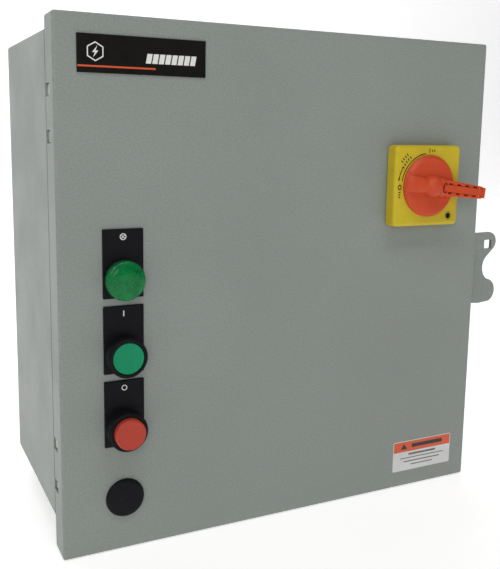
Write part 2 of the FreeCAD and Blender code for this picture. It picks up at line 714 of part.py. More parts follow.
def handle_plate():
    """Square moulded plate with rounded front edges, a dial seat and a release hole."""
    half = HANDLE_PLATE / 2
    plate = block(HANDLE_X - half, HANDLE_X + half, PLATE_FRONT, PLATE_BACK,
                  HANDLE_Z - half, HANDLE_Z + half)
    plate = rounded(plate, 4.0, lambda e: along(e, Y_AXIS))
    plate = rounded(plate, 3.0, lambda e: on_y(e, PLATE_FRONT))
    tools = [rod_y(HANDLE_X, HANDLE_Z, HUB_R + 0.25, PLATE_FRONT - 1, PLATE_BACK + 1)]
    tools.append(rod_y(HANDLE_X + 23.0, HANDLE_Z - 25.5, 2.6, PLATE_FRONT - 1, PLATE_BACK - 1.5))
    for sx, sz in HANDLE_CORNERS:
        tools.append(rod_y(HANDLE_X + sx, HANDLE_Z + sz, 1.8, PLATE_BACK - 8.0, PLATE_BACK + 1))
    return cut(plate, tools)


def handle_screws():
    """Screws driven from inside the door into the handle plate."""
    screws = []
    for sx, sz in HANDLE_CORNERS:
        x, z = HANDLE_X + sx, HANDLE_Z + sz
        shank = rod_y(x, z, 1.75, PLATE_BACK - 7.0, DOOR_INNER + 0.5)
        head = rod_y(x, z, 3.8, DOOR_INNER, DOOR_INNER + 2.8)
        slot = block(x - 3, x + 3, DOOR_INNER + 1.8, DOOR_INNER + 3.5, z - 0.5, z + 0.5)
        screws.append(fused([shank, head]).cut(slot))
    return screws


def grip_front(x):
    """Front of the grip at a distance x from the axis: it rises towards the tip."""
    root, tip = GRIP_RISE
    return DISC_FRONT - root - (tip - root) * x / GRIP_TIP


def grip_body():
    """Long tapering grip with a flat back that clears the yellow plate."""
    ox, oz = HANDLE_X, HANDLE_Z
    root_half, tip_half = 7.4, 5.2
    end = GRIP_TIP - 2.0
    plan = [(ox + 2, oz - root_half), (ox + end, oz - tip_half), (ox + end, oz + tip_half),
            (ox + 2, oz + root_half)]
    grip = prism_y(plan, DISC_FRONT - 20.0, DISC_FRONT + 1)
    side = prism_z([(ox, DISC_FRONT + 1), (ox, grip_front(0)), (ox + GRIP_TIP, grip_front(GRIP_TIP)),
                    (ox + GRIP_TIP, DISC_FRONT - 2.0), (ox + 27.0, DISC_FRONT - 1.0),
                    (ox + 21.0, DISC_FRONT + 1)], oz - 10, oz + 10)
    grip = grip.common(side)
    return rounded(grip, 1.2, lambda e: e.BoundBox.XMax > ox + 22 and not along(e, Z_AXIS))


def handle_nose():
    """Pointer mound that slopes from the hub to the disc's rim."""
    ox, oz = HANDLE_X, HANDLE_Z
    tip = ox - DISC_R + 2.6
    outline = [(ox + 2, DISC_FRONT + 1), (tip, DISC_FRONT + 1), (tip, DISC_FRONT - 1.4),
               (ox - 17.0, DISC_FRONT - 4.6), (ox + 2, DISC_FRONT - 6.4)]
    nose = prism_z(outline, oz - 6.4, oz + 6.4)
    return rounded(nose, 1.3, lambda e: e.BoundBox.YMax < DISC_FRONT and e.BoundBox.XMax < ox + 1.9)


def channel_floor(x):
    """Floor of the grip's channel, a constant depth below its rising front."""
    return grip_front(x) + CHANNEL_DEPTH


def channel_bar(x0, x1, lift, floor_gap, half_w):
    """A bar that follows the channel, from lift behind the grip's front to floor_gap off its floor."""
    outline = [(HANDLE_X + x0, grip_front(x0) + lift), (HANDLE_X + x0, channel_floor(x0) - floor_gap),
               (HANDLE_X + x1, channel_floor(x1) - floor_gap), (HANDLE_X + x1, grip_front(x1) + lift)]
    return prism_z(outline, HANDLE_Z - half_w, HANDLE_Z + half_w)


def handle_knob():
    """Dial disc, hub dome, pointer nose and long slotted grip, drawn level."""
    ox, oz = HANDLE_X, HANDLE_Z
    disc = turned([(0, DISC_BACK), (DISC_R, DISC_BACK), (DISC_R, DISC_BACK - 1.6),
                   (DISC_R - 2.8, DISC_FRONT), (0, DISC_FRONT)], ox, oz)
    hub = rod_y(ox, oz, HUB_R, DISC_BACK - 1, HUB_END)
    dome = Part.makeSphere(HUB_DOME_R, V(ox, DISC_FRONT + 0.4, oz))
    dome = dome.common(block(ox - 20, ox + 20, DISC_FRONT - 30, DISC_FRONT + 0.9, oz - 20, oz + 20))
    body = fused([disc, hub, dome, handle_nose(), grip_body()])
    channel = channel_bar(CHANNEL_START, GRIP_TIP + 5.0, -20.0, 0.0, 3.3)
    windows = [block(ox + x, ox + x + 3.6, DISC_FRONT - 30, channel_floor(x) - 0.4, oz - 4.5, oz + 4.5)
               for x in GRIP_WINDOWS]
    return turn_handle(cut(body, [channel] + windows))


def handle_slide():
    """Padlock slide that lies in the grip's channel and draws out at the tip."""
    bar = channel_bar(CHANNEL_START + 0.3, GRIP_TIP, 0.5, 0.3, 3.0)
    tip = channel_bar(GRIP_TIP - 1.7, GRIP_TIP + 0.9, 0.1, 0.3, 4.4)
    tip = rounded(tip, 0.5, lambda e: along(e, Z_AXIS) and e.BoundBox.XMax > HANDLE_X + GRIP_TIP)
    return turn_handle(fused([bar, tip]))


def handle_coupling():
    """Socket piece on the hub's inner end that takes the square shaft."""
    ox, oz = HANDLE_X, HANDLE_Z
    body = rod_y(ox, oz, COUPLING_R, HUB_END, COUPLING_END)
    body = rounded(body, 1.0, lambda e: on_y(e, COUPLING_END))
    half = SOCKET_SQUARE / 2
    socket = block(ox - half, ox + half, HUB_END + 3.0, COUPLING_END + 1, oz - half, oz + half)
    mouth = turned([(0, COUPLING_END - 3.0), (5.2, COUPLING_END - 3.0), (8.2, COUPLING_END + 0.1),
                    (0, COUPLING_END + 0.1)], ox, oz)
    return turn_handle(cut(body, [socket, mouth]))


# --- breaker and its shaft ------------------------------------------------------------
BREAKER_FACE = -92.0
BREAKER_STEP = -74.0
KNOB_FRONT = BREAKER_FACE - 16.0
SHAFT_TIP = COUPLING_END - 8.0


def pole_x(i):
    return STACK_X + (i - 1) * POLE_PITCH


def breaker_base():
    """Rear housing with terminal wells top and bottom and a rail seat behind."""
    x0, x1 = STACK_X - STACK_W / 2, STACK_X + STACK_W / 2
    body = soft_block(x0, x1, BREAKER_STEP, RAIL_FRONT, BREAKER_BOTTOM, BREAKER_TOP, 1.5)
    tools = []
    for i in range(3):
        for z0, z1 in ((BREAKER_TOP - 12, BREAKER_TOP + 1), (BREAKER_BOTTOM - 1, BREAKER_BOTTOM + 12)):
            tools.append(block(pole_x(i) - 4.6, pole_x(i) + 4.6, -52.0, -42.0, z0, z1))
        for z in (BREAKER_TOP - 7.5, BREAKER_BOTTOM + 7.5):
            tools.append(rod_y(pole_x(i), z, 4.2, BREAKER_STEP - 1, -42.0))
    return cut(body, tools)


def breaker_cover():
    """Raised front of the breaker that carries the knob and the setting dial."""
    x0, x1 = STACK_X - STACK_W / 2, STACK_X + STACK_W / 2
    z0, z1 = BREAKER_BOTTOM + 17, BREAKER_TOP - 17
    cover = soft_block(x0, x1, BREAKER_FACE, BREAKER_STEP, z0, z1, 1.5, 1.2)
    tools = [rod_y(HANDLE_X, HANDLE_Z, 5.1, BREAKER_FACE - 1, BREAKER_FACE + 12)]
    tools.append(rod_y(STACK_X - 12, z0 + 9, 5.0, BREAKER_FACE - 1, BREAKER_FACE + 4))
    tools.append(block(STACK_X + 4, STACK_X + 14, BREAKER_FACE - 1, BREAKER_FACE + 2, z0 + 6, z0 + 12))
    return cut(cover, tools)


def breaker_dial():
    z0 = BREAKER_BOTTOM + 26
    dial = rod_y(STACK_X - 12, z0, 4.7, BREAKER_FACE - 0.5, BREAKER_FACE + 4)
    slot = block(STACK_X - 15.5, STACK_X - 8.5, BREAKER_FACE - 1, BREAKER_FACE + 0.8, z0 - 0.6, z0 + 0.6)
    return dial.cut(slot)


def breaker_knob():
    """Short drive knob on the breaker with a stem into the cover and a square seat in front."""
    ox, oz = HANDLE_X, HANDLE_Z
    skirt = rod_y(ox, oz, 15.0, KNOB_FRONT + 6, BREAKER_FACE - 0.3)
    skirt = rounded(skirt, 1.5, lambda e: on_y(e, KNOB_FRONT + 6))
    bar = block(ox - 14, ox + 14, KNOB_FRONT, KNOB_FRONT + 8, oz - 5.5, oz + 5.5)
    bar = rounded(bar, 2.0, lambda e: along(e, Y_AXIS))
    stem = rod_y(ox, oz, 5.0, BREAKER_FACE - 1, BREAKER_FACE + 11)
    half = SHAFT_SQUARE / 2
    seat = block(ox - half, ox + half, KNOB_FRONT - 1, KNOB_FRONT + 12, oz - half, oz + half)
    return turn_handle(fused([skirt, bar, stem]).cut(seat))


def extension_shaft():
    """Square steel shaft from the breaker knob to the handle's socket, with a cross pin."""
    ox, oz = HANDLE_X, HANDLE_Z
    half = SHAFT_SQUARE / 2
    shaft = block(ox - half, ox + half, SHAFT_TIP, KNOB_FRONT + 12, oz - half, oz + half)
    shaft = chamfered(shaft, 0.8, lambda e: on_y(e, SHAFT_TIP))
    pin = rod_x(KNOB_FRONT - 20.0, oz, 1.5, ox - 8.0, ox + 8.0)
    return turn_handle(fused([shaft, pin]))


# --- contactor ---------------------------------------------------------------------------
CONTACTOR_MID = (CONTACTOR_TOP + CONTACTOR_BOTTOM) / 2
CONTACTOR_SPLIT = -58.0
CONTACTOR_FACE = -92.0
WALL = 2.0


def contactor_base():
    """Lower housing: an open-fronted well for the coil and the fixed core."""
    x0, x1 = STACK_X - STACK_W / 2, STACK_X + STACK_W / 2
    z0, z1 = CONTACTOR_BOTTOM + 4, CONTACTOR_TOP - 4
    body = soft_block(x0, x1, CONTACTOR_SPLIT, RAIL_FRONT, z0, z1, 1.5)
    well = block(x0 + WALL, x1 - WALL, CONTACTOR_SPLIT - 1, RAIL_FRONT - WALL, z0 + WALL, z1 - WALL)
    return body.cut(well)


def contactor_cover():
    """Upper housing with contact chamber, terminal wells and a window for the carrier."""
    x0, x1 = STACK_X - STACK_W / 2, STACK_X + STACK_W / 2
    body = soft_block(x0, x1, CONTACTOR_FACE, CONTACTOR_SPLIT, CONTACTOR_BOTTOM, CONTACTOR_TOP, 1.5, 1.0)
    chamber = block(x0 + WALL, x1 - WALL, CONTACTOR_FACE + 4, CONTACTOR_SPLIT + 1,
                    CONTACTOR_MID - 22, CONTACTOR_MID + 22)
    window = block(STACK_X - 8.5, STACK_X + 8.5, CONTACTOR_FACE - 1, CONTACTOR_FACE + 5,
                   CONTACTOR_MID - 5.5, CONTACTOR_MID + 5.5)
    tools = [chamber, window]
    for i in range(3):
        x = pole_x(i)
        for sz in (-1, 1):
            z_out = CONTACTOR_TOP if sz > 0 else CONTACTOR_BOTTOM
            z_lo, z_hi = sorted((z_out + sz, z_out - sz * 13))
            tools.append(block(x - 4.6, x + 4.6, -76.0, -66.0, z_lo, z_hi))
            tools.append(rod_y(x, z_out - sz * 8.0, 4.2, CONTACTOR_FACE - 1, -66.0))
            rail_lo, rail_hi = sorted((z_out - sz * 5, CONTACTOR_MID + sz * 21))
            tools.append(block(x - 4.2, x + 4.2, -67.0, -65.0, rail_lo, rail_hi))
    return cut(body, tools)


FIXED_CONTACT_FRONT = -67.0
FIXED_CONTACT_BACK = -65.4


def fixed_contact(i, sz):
    """Terminal strip that runs from its well into the chamber and ends in a silver pad."""
    x = pole_x(i)
    z_out = CONTACTOR_TOP if sz > 0 else CONTACTOR_BOTTOM
    z_lo, z_hi = sorted((z_out - sz * 5, CONTACTOR_MID + sz * 9.0))
    strip = block(x - 4.0, x + 4.0, FIXED_CONTACT_FRONT, FIXED_CONTACT_BACK, z_lo, z_hi)
    pad = rod_y(x, CONTACTOR_MID + sz * 12.0, 2.6, FIXED_CONTACT_FRONT - 1.4, FIXED_CONTACT_FRONT + 0.5)
    return fused([strip, pad])


BRIDGE_REST = FIXED_CONTACT_FRONT - 1.4 - ARMATURE_TRAVEL + 0.4


def moving_contact(i):
    """Bridge with two silver pads, open by nearly the armature's travel at rest."""
    x = pole_x(i)
    bar = block(x - 3.2, x + 3.2, BRIDGE_REST - 2.6, BRIDGE_REST - 1.2,
                CONTACTOR_MID - 15, CONTACTOR_MID + 15)
    pads = [rod_y(x, CONTACTOR_MID + s * 12.0, 2.4, BRIDGE_REST - 1.6, BRIDGE_REST) for s in (-1, 1)]
    return fused([bar] + pads)


CARRIER_FRONT = CONTACTOR_FACE + 0.8
ARMATURE_FACE = -50.0        # pole faces of the moving core at rest
CORE_FACE = ARMATURE_FACE + ARMATURE_TRAVEL


def contact_carrier():
    """Crosshead: front indicator, body, and legs that grip the bridges."""
    front = block(STACK_X - 7.8, STACK_X + 7.8, CARRIER_FRONT, BRIDGE_REST - 7, CONTACTOR_MID - 4.8,
                  CONTACTOR_MID + 4.8)
    body = block(STACK_X - 19.0, STACK_X + 19.0, BRIDGE_REST - 9.0, BRIDGE_REST - 2.6,
                 CONTACTOR_MID - 5.0, CONTACTOR_MID + 5.0)
    legs = []
    for x in (STACK_X - 7.0, STACK_X + 7.0):
        legs.append(block(x - 2.4, x + 2.4, BRIDGE_REST - 3, ARMATURE_FACE - 7.0,
                          CONTACTOR_MID - 5.0, CONTACTOR_MID + 5.0))
    yoke = block(STACK_X - 12.0, STACK_X + 12.0, ARMATURE_FACE - 9.5, ARMATURE_FACE - 7.0,
                 CONTACTOR_MID - 8.0, CONTACTOR_MID + 8.0)
    return fused([front, body] + legs + [yoke])


def e_core(back, face, toward):
    """E-shaped laminated core; its three legs end at face."""
    spine_end = back + toward * 7.0
    y_lo, y_hi = sorted((back, spine_end))
    spine = block(STACK_X - 7.5, STACK_X + 7.5, y_lo, y_hi, CONTACTOR_MID - 22, CONTACTOR_MID + 22)
    l_lo, l_hi = sorted((back, face))
    legs = [block(STACK_X - 7.5, STACK_X + 7.5, l_lo, l_hi, CONTACTOR_MID + z - w, CONTACTOR_MID + z + w)
            for z, w in ((-18.5, 3.5), (0.0, 6.5), (18.5, 3.5))]
    return fused([spine] + legs)


def armature_core():
    return e_core(ARMATURE_FACE - 7.0, ARMATURE_FACE, 1)


def magnet_core():
    return e_core(RAIL_FRONT - WALL, CORE_FACE, -1)


def contactor_coil():
    """Bobbin with its winding round the core's middle leg, and two coil tabs."""
    y0, y1 = CORE_FACE + 0.6, RAIL_FRONT - WALL - 7.3
    z_mid = CONTACTOR_MID
    hollow = block(STACK_X - 8.0, STACK_X + 8.0, y0 - 1, y1 + 1, z_mid - 7.0, z_mid + 7.0)
    flange_a = block(STACK_X - 15.0, STACK_X + 15.0, y0, y0 + 1.5, z_mid - 14.6, z_mid + 14.6)
    flange_b = block(STACK_X - 15.0, STACK_X + 15.0, y1 - 1.5, y1, z_mid - 14.6, z_mid + 14.6)
    winding = soft_block(STACK_X - 14.0, STACK_X + 14.0, y0 + 1, y1 - 1, z_mid - 13.6, z_mid + 13.6, 3.0)
    return fused([flange_a, winding, flange_b]).cut(hollow)


def return_spring(side):
    """Spring beside the core that pushes the armature forward."""
    return coil_spring(STACK_X + side * 11.0, CONTACTOR_MID, ARMATURE_FACE - 6.8, CORE_FACE + 0.5,
                       2.1, 0.35, 4)


# --- overload relay -----------------------------------------------------------------------
OVERLOAD_FACE = -84.0


def overload_body():
    x0, x1 = STACK_X - STACK_W / 2, STACK_X + STACK_W / 2
    body = soft_block(x0, x1, OVERLOAD_FACE, RAIL_FRONT - 12, OVERLOAD_BOTTOM, OVERLOAD_TOP, 1.5, 1.0)
    tools = [rod_y(STACK_X - 12, OVERLOAD_TOP - 12, 7.3, OVERLOAD_FACE - 1, OVERLOAD_FACE + 6)]
    tools.append(rod_y(STACK_X + 12, OVERLOAD_TOP - 12, 4.3, OVERLOAD_FACE - 1, OVERLOAD_FACE + 12))
    for i in range(3):
        x = pole_x(i)
        tools.append(block(x - 4.6, x + 4.6, -76.0, -66.0, OVERLOAD_BOTTOM - 1, OVERLOAD_BOTTOM + 13))
        tools.append(rod_y(x, OVERLOAD_BOTTOM + 8.0, 4.2, OVERLOAD_FACE - 1, -66.0))
    return cut(body, tools)


def overload_blade(i):
    """Contact blade that plugs up into the contactor's lower terminal."""
    x = pole_x(i)
    return block(x - 3.0, x + 3.0, FIXED_CONTACT_FRONT - 2.5, FIXED_CONTACT_FRONT,
                 OVERLOAD_TOP, CONTACTOR_BOTTOM + 11.0)


def overload_dial():
    x, z = STACK_X - 12, OVERLOAD_TOP - 12
    dial = rod_y(x, z, 7.0, OVERLOAD_FACE - 1.5, OVERLOAD_FACE + 6)
    dial = chamfered(dial, 0.6, lambda e: on_y(e, OVERLOAD_FACE - 1.5))
    slot = block(x - 5.0, x + 5.0, OVERLOAD_FACE - 2, OVERLOAD_FACE, z - 0.8, z + 0.8)
    return dial.cut(slot)


def overload_reset():
    x, z = STACK_X + 12, OVERLOAD_TOP - 12
    front = OVERLOAD_FACE - 3.5
    stem = rod_y(x, z, 4.0, front, OVERLOAD_FACE + 8.5)
    return rounded(stem, 1.0, lambda e: on_y(e, front))


# --- transformer, fuses and terminals ------------------------------------------------------
TRANSFORMER_X = -98.0
TRANSFORMER_Z = 80.0


def transformer_core():
    """Laminated E-I stack with mounting feet."""
    x, z = TRANSFORMER_X, TRANSFORMER_Z
    stack = block(x - 37.5, x + 37.5, -62.0, -24.0, z - 31.0, z + 31.0)
    windows = [block(x + s * 18.75 - 8, x + s * 18.75 + 8, -63.0, -23.0, z - 19.0, z + 19.0)
               for s in (-1, 1)]
    feet = []
    for s in (-1, 1):
        lo, hi = sorted((x + s * 37.5, x + s * 39.0))
        feet.append(block(lo, hi, -60.0, PANEL_Y, z - 20, z + 20))
        lo, hi = sorted((x + s * 37.5, x + s * 50.0))
        feet.append(block(lo, hi, PANEL_Y - 1.5, PANEL_Y, z - 20, z + 20))
    holes = [rod_y(x + s * 44.5, z + t * 13, 2.3, PANEL_Y - 3, PANEL_Y + 1)
             for s in (-1, 1) for t in (-1, 1)]
    return cut(fused([stack] + feet), windows + holes)


def transformer_winding():
    """Taped winding round the middle leg with a bulge on each side of the stack."""
    x, z = TRANSFORMER_X, TRANSFORMER_Z
    coil = block(x - 25.5, x + 25.5, -76.0, -16.5, z - 18.0, z + 18.0)
    coil = rounded(coil, 5.0, lambda e: along(e, Z_AXIS))
    coil = rounded(coil, 1.5, lambda e: not along(e, Z_AXIS))
    leg = block(x - 10.9, x + 10.9, -62.1, -23.9, z - 40, z + 40)
    sides = [block(*sorted((x + s * 26.6, x + s * 40)), -62.1, -23.9, z - 40, z + 40) for s in (-1, 1)]
    return cut(coil, [leg] + sides)


def transformer_terminals():
    """Moulded terminal boards on the top and bottom of the stack."""
    x = TRANSFORMER_X
    boards = []
    for s in (-1, 1):
        z_in = TRANSFORMER_Z + s * 31.0
        z_lo, z_hi = sorted((z_in, z_in + s * 11.0))
        board = block(x - 30.0, x + 30.0, -62.0, -44.0, z_lo, z_hi)
        board = rounded(board, 1.0, lambda e: along(e, X_AXIS))
        wells = [rod_y(x + dx, (z_lo + z_hi) / 2, 3.6, -63.0, -57.0) for dx in (-21, -7, 7, 21)]
        boards.append(cut(board, wells))
    return boards


FUSE_X = (-118.0, -94.0)
FUSE_Z = (-28.0, 14.0)


def fuse_block():
    """Open two-pole fuse base with end walls and a barrier."""
    x0, x1 = FUSE_X[0] - 13, FUSE_X[1] + 13
    z0, z1 = FUSE_Z[0] - 8, FUSE_Z[1] + 8
    base = block(x0, x1, -26.0, PANEL_Y, z0, z1)
    base = rounded(base, 2.0, lambda e: along(e, Y_AXIS))
    walls = [block(x, x + 2.0, -44.0, -25.0, z0 + 6, z1 - 6) for x in (x0, (x0 + x1) / 2 - 1, x1 - 2)]
    return fused([base] + walls)


def fuse_clip(x, z):
    """Spring clip with two arms round a fuse ferrule."""
    foot = block(x - 6.4, x + 6.4, -27.2, -26.0, z - 3.0, z + 3.0)
    arms = [block(x - 6.4, x - 5.4, -39.0, -26.0, z - 3.0, z + 3.0),
            block(x + 5.4, x + 6.4, -39.0, -26.0, z - 3.0, z + 3.0)]
    return fused([foot] + arms)


def fuse(x):
    """Cartridge fuse: glazed body with a ferrule on each end."""
    body = rod_z(x, -33.0, 4.9, FUSE_Z[0] - 4.5, FUSE_Z[1] + 4.5)
    caps = [rod_z(x, -33.0, 5.35, FUSE_Z[0] - 5.0, FUSE_Z[0] + 5.0),
            rod_z(x, -33.0, 5.35, FUSE_Z[1] - 5.0, FUSE_Z[1] + 5.0)]
    return fused([body] + caps)


TERMINAL_X0 = -56.0
TERMINAL_PITCH = 9.0
TERMINAL_COUNT = 10


def terminal_module(i):
    """One rail terminal with two screw wells and wire entries."""
    x0 = TERMINAL_X0 + i * TERMINAL_PITCH
    x1 = x0 + TERMINAL_PITCH - 0.3
    z = RAIL_LOW_Z
    profile = [(RAIL_FRONT, z - 22), (RAIL_FRONT, z + 22), (-42.0, z + 22), (-50.0, z + 12),
               (-50.0, z - 12), (-42.0, z - 22)]
    body = prism_x(profile, x0, x1)
    mid = (x0 + x1) / 2
    tools = []
    for s in (-1, 1):
        tools.append(rod_y(mid, z + s * 8.0, 2.9, -51.0, -42.0))
        tools.append(block(mid - 2.4, mid + 2.4, -38.0, -32.0, *sorted((z + s * 12, z + s * 23))))
    return cut(body, tools)


def terminal_screws():
    """Every clamp screw of the breaker, contactor, overload, transformer and terminals."""
    screws = []
    for i in range(3):
        x = pole_x(i)
        for z in (BREAKER_TOP - 7.5, BREAKER_BOTTOM + 7.5):
            screws.append(screw_head(x, z, 3.8, -66.0, -52.5))
        for sz, z_out in ((1, CONTACTOR_TOP), (-1, CONTACTOR_BOTTOM)):
            screws.append(screw_head(x, z_out - sz * 8.0, 3.8, -86.0, -77.0))
        screws.append(screw_head(x, OVERLOAD_BOTTOM + 8.0, 3.8, -81.0, -76.5))
    for s in (-1, 1):
        for dx in (-21, -7, 7, 21):
            screws.append(screw_head(TRANSFORMER_X + dx, TRANSFORMER_Z + s * 36.5, 3.2, -61.0, -57.0))
    for i in range(TERMINAL_COUNT):
        x = TERMINAL_X0 + i * TERMINAL_PITCH + (TERMINAL_PITCH - 0.3) / 2
        for s in (-1, 1):
            screws.append(screw_head(x, RAIL_LOW_Z + s * 8.0, 2.6, -47.0, -42.0, 0.9, 0.9))
    return screws


# --- wiring -------------------------------------------------------------------------------
POWER_R = 1.9
CONTROL_R = 1.1
WELL_DEPTH = 4.0             # a link ends this far inside a switch block
BLOCK_HALF_H = 21.0


def power_wires():
    """Jumpers from the breaker's load side to the contactor's line side."""
    wires = []
    for i in range(3):
        x = pole_x(i)
        points = [(x, -47.0, BREAKER_BOTTOM + 11.5), (x, -47.0, 16.5), (x, -71.0, 12.5),
                  (x, -71.0, CONTACTOR_TOP - 12.5)]
        wires.append(wire_solid(points, POWER_R, 2.2))
    return wires


def terminal_x(i):
    return TERMINAL_X0 + i * TERMINAL_PITCH + (TERMINAL_PITCH - 0.3) / 2


def supply_wires():
    """Transformer secondary down to the fuse base, and the fused lines on to the terminals."""
    wires = []
    base_top, base_bottom = FUSE_Z[1] + 8.0, FUSE_Z[0] - 8.0
    board = TRANSFORMER_Z - 42.0
    for x_tr, x_f in zip((TRANSFORMER_X - 21, TRANSFORMER_X - 7), FUSE_X):
        points = [(x_tr, -52.0, board), (x_tr, -52.0, board - 7), (x_f, -20.0, board - 9),
                  (x_f, -20.0, base_top)]
        wires.append(wire_solid(points, CONTROL_R, 3.0))
    for x_f, x_t, z_run in zip(FUSE_X, (terminal_x(1), terminal_x(0)), (-72.0, -64.0)):
        points = [(x_f, -20.0, base_bottom), (x_f, -20.0, z_run), (x_t, -35.0, z_run), (x_t, -35.0, -45.0)]
        wires.append(wire_solid(points, CONTROL_R, 6.0))
    return wires


def coil_wires():
    """Two conductors from the terminals to the contactor's coil, the outer over the inner."""
    wires = []
    x_end = STACK_X - STACK_W / 2
    last = TERMINAL_COUNT - 1
    for i, z_run, x_col, z_end in ((last, 2.0, x_end - 15.5, -12.0), (last - 1, 9.0, x_end - 9.5, -1.0)):
        x_t = terminal_x(i)
        points = [(x_t, -35.0, -19.0), (x_t, -35.0, z_run), (x_col, -35.0, z_run),
                  (x_col, -35.0, z_end), (x_end, -35.0, z_end)]
        wires.append(wire_solid(points, CONTROL_R, 4.0))
    return wires


LOOM_R = 3.2
LOOM_END_Z = -95.0
LOOM_START_Z = (RUN_Z + START_Z) / 2
LOOM_POINTS = [(DEVICE_X - 10.5, -139.0, LOOM_START_Z), (-167.0, -139.0, LOOM_START_Z),
               (-167.0, -139.0, -140.0),
               (-167.0, -45.0, -140.0), (-12.0, -45.0, -140.0), (-12.0, -45.0, LOOM_END_Z)]


def door_loom():
    """Sleeved bundle from the door's operators, down beside the hinge and in to the terminals."""
    return wire_solid(LOOM_POINTS, LOOM_R, 12.0)


def loom_tails():
    """Conductors that leave the sleeve and enter four terminals."""
    wires = []
    x_end, y_end, z_end = LOOM_POINTS[-1]
    for k in range(4):
        x = x_end + (-1.5 if k < 2 else 1.5)
        y = y_end + (-1.5 if k % 3 == 0 else 1.5)
        x_t = terminal_x(3 + k)
        points = [(x, y, z_end), (x, y, z_end + 9), (x_t, -35.0, z_end + 31), (x_t, -35.0, -45.0)]
        wires.append(wire_solid(points, CONTROL_R, 4.0))
    return wires


def door_harness():
    """Links on the door between the pilot light and the two switch blocks."""
    links = []
    y = BARREL_END + 16.0
    for upper, lower, recess in ((RUN_Z, START_Z, 0.0), (START_Z, STOP_Z, WELL_DEPTH)):
        z0 = lower + BLOCK_HALF_H - WELL_DEPTH
        z1 = upper - BLOCK_HALF_H + recess
        for sx in (-1, 1):
            links.append(rod_z(DEVICE_X + sx * 8.0, y, CONTROL_R, z0, z1))
    return links


# --- build everything --------------------------------------------------------------------
def main():
    os.makedirs("parts", exist_ok=True)
    save("enclosure_box", enclosure_box())
    save("box_hinge_leaves", [box_hinge_leaf(z, s) for z in HINGE_Z for s in (-1, 1)])
    save("hinge_pins", [hinge_pin(z) for z in HINGE_Z])
    save("box_hasp", box_hasp())
    save("ground_lug", ground_lug())
    save("panel_fasteners", panel_standoffs() + panel_nuts())
    save("mounting_panel", mounting_panel())
    save("din_rails", [din_rail(STACK_X - 30, STACK_X + 30, HANDLE_Z),
                       din_rail(-66.0, STACK_X + 30, RAIL_LOW_Z)])

    save("door_panel", door_panel())
    save("door_hinge_leaves", [door_hinge_leaf(z) for z in HINGE_Z])
    save("door_hasp", door_hasp())
    save("nameplate", nameplate())
    save("warning_label", warning_label())
    save("legend_plates", [legend_plate(z) for z in (RUN_Z, START_Z, STOP_Z)])
    save("run_bezel", pilot_bezel(RUN_Z))
    save("run_lens", pilot_lens(RUN_Z))
    save("run_lamp_block", lamp_block(RUN_Z))
    save("start_bezel", button_bezel(START_Z))
    save("start_button", button(START_Z, BEZEL_FRONT + 0.3, 0.5))
    save("start_spring", button_spring(START_Z))
    save("stop_bezel", button_bezel(STOP_Z))
    save("stop_button", button(STOP_Z, BEZEL_FRONT - STOP_STAND, 1.0))
    save("stop_spring", button_spring(STOP_Z))
    blocks = []
    for z in (START_Z, STOP_Z):
        blocks.append(contact_block(z))
        blocks.extend(contact_block_screws(z))
    save("contact_blocks", blocks)
    save("device_nuts", [device_nut(z) for z in (RUN_Z, START_Z, STOP_Z, PLUG_Z)])
    save("hole_plug", hole_plug(PLUG_Z))
    save("door_harness", door_harness())

    save("handle_gasket", handle_gasket())
    save("handle_plate", handle_plate())
    save("handle_screws", handle_screws())
    save("handle_knob", handle_knob())
    save("handle_slide", handle_slide())
    save("handle_coupling", handle_coupling())

    save("breaker_base", breaker_base())
    save("breaker_cover", breaker_cover())
    save("breaker_dial", breaker_dial())
    save("breaker_knob", breaker_knob())
    save("extension_shaft", extension_shaft())

    save("contactor_base", contactor_base())
    save("contactor_cover", contactor_cover())
    strips = [fixed_contact(i, s) for i in range(3) for s in (-1, 1)]
    save("fixed_contacts", strips + [overload_blade(i) for i in range(3)])
    save("moving_contacts", [moving_contact(i) for i in range(3)])
    save("contact_carrier", contact_carrier())
    save("armature_core", armature_core())
    save("magnet_core", magnet_core())
    save("contactor_coil", contactor_coil())
    save("return_springs", [return_spring(s) for s in (-1, 1)])

    save("overload_body", overload_body())
    save("overload_dial", overload_dial())
    save("overload_reset", overload_reset())

    save("transformer_core", transformer_core())
    save("transformer_winding", transformer_winding())
    save("transformer_terminals", transformer_terminals())
    save("fuse_block", [fuse_block()] + [fuse_clip(x, z) for x in FUSE_X for z in FUSE_Z])
    save("fuses", [fuse(x) for x in FUSE_X])
    save("terminal_blocks", [terminal_module(i) for i in range(TERMINAL_COUNT)])
    save("terminal_screws", terminal_screws())
    save("power_wires", power_wires())
    save("control_wires", supply_wires() + coil_wires() + loom_tails())
    save("door_loom", door_loom())


main()
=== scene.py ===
"""Looks of a wall-mounted magnetic motor starter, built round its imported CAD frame.

Everything is in metres in the frame's own axes: +X right, -Y out of the door, +Z up.
"""

import math

import bmesh
import bpy
from mathutils import Matrix, Vector


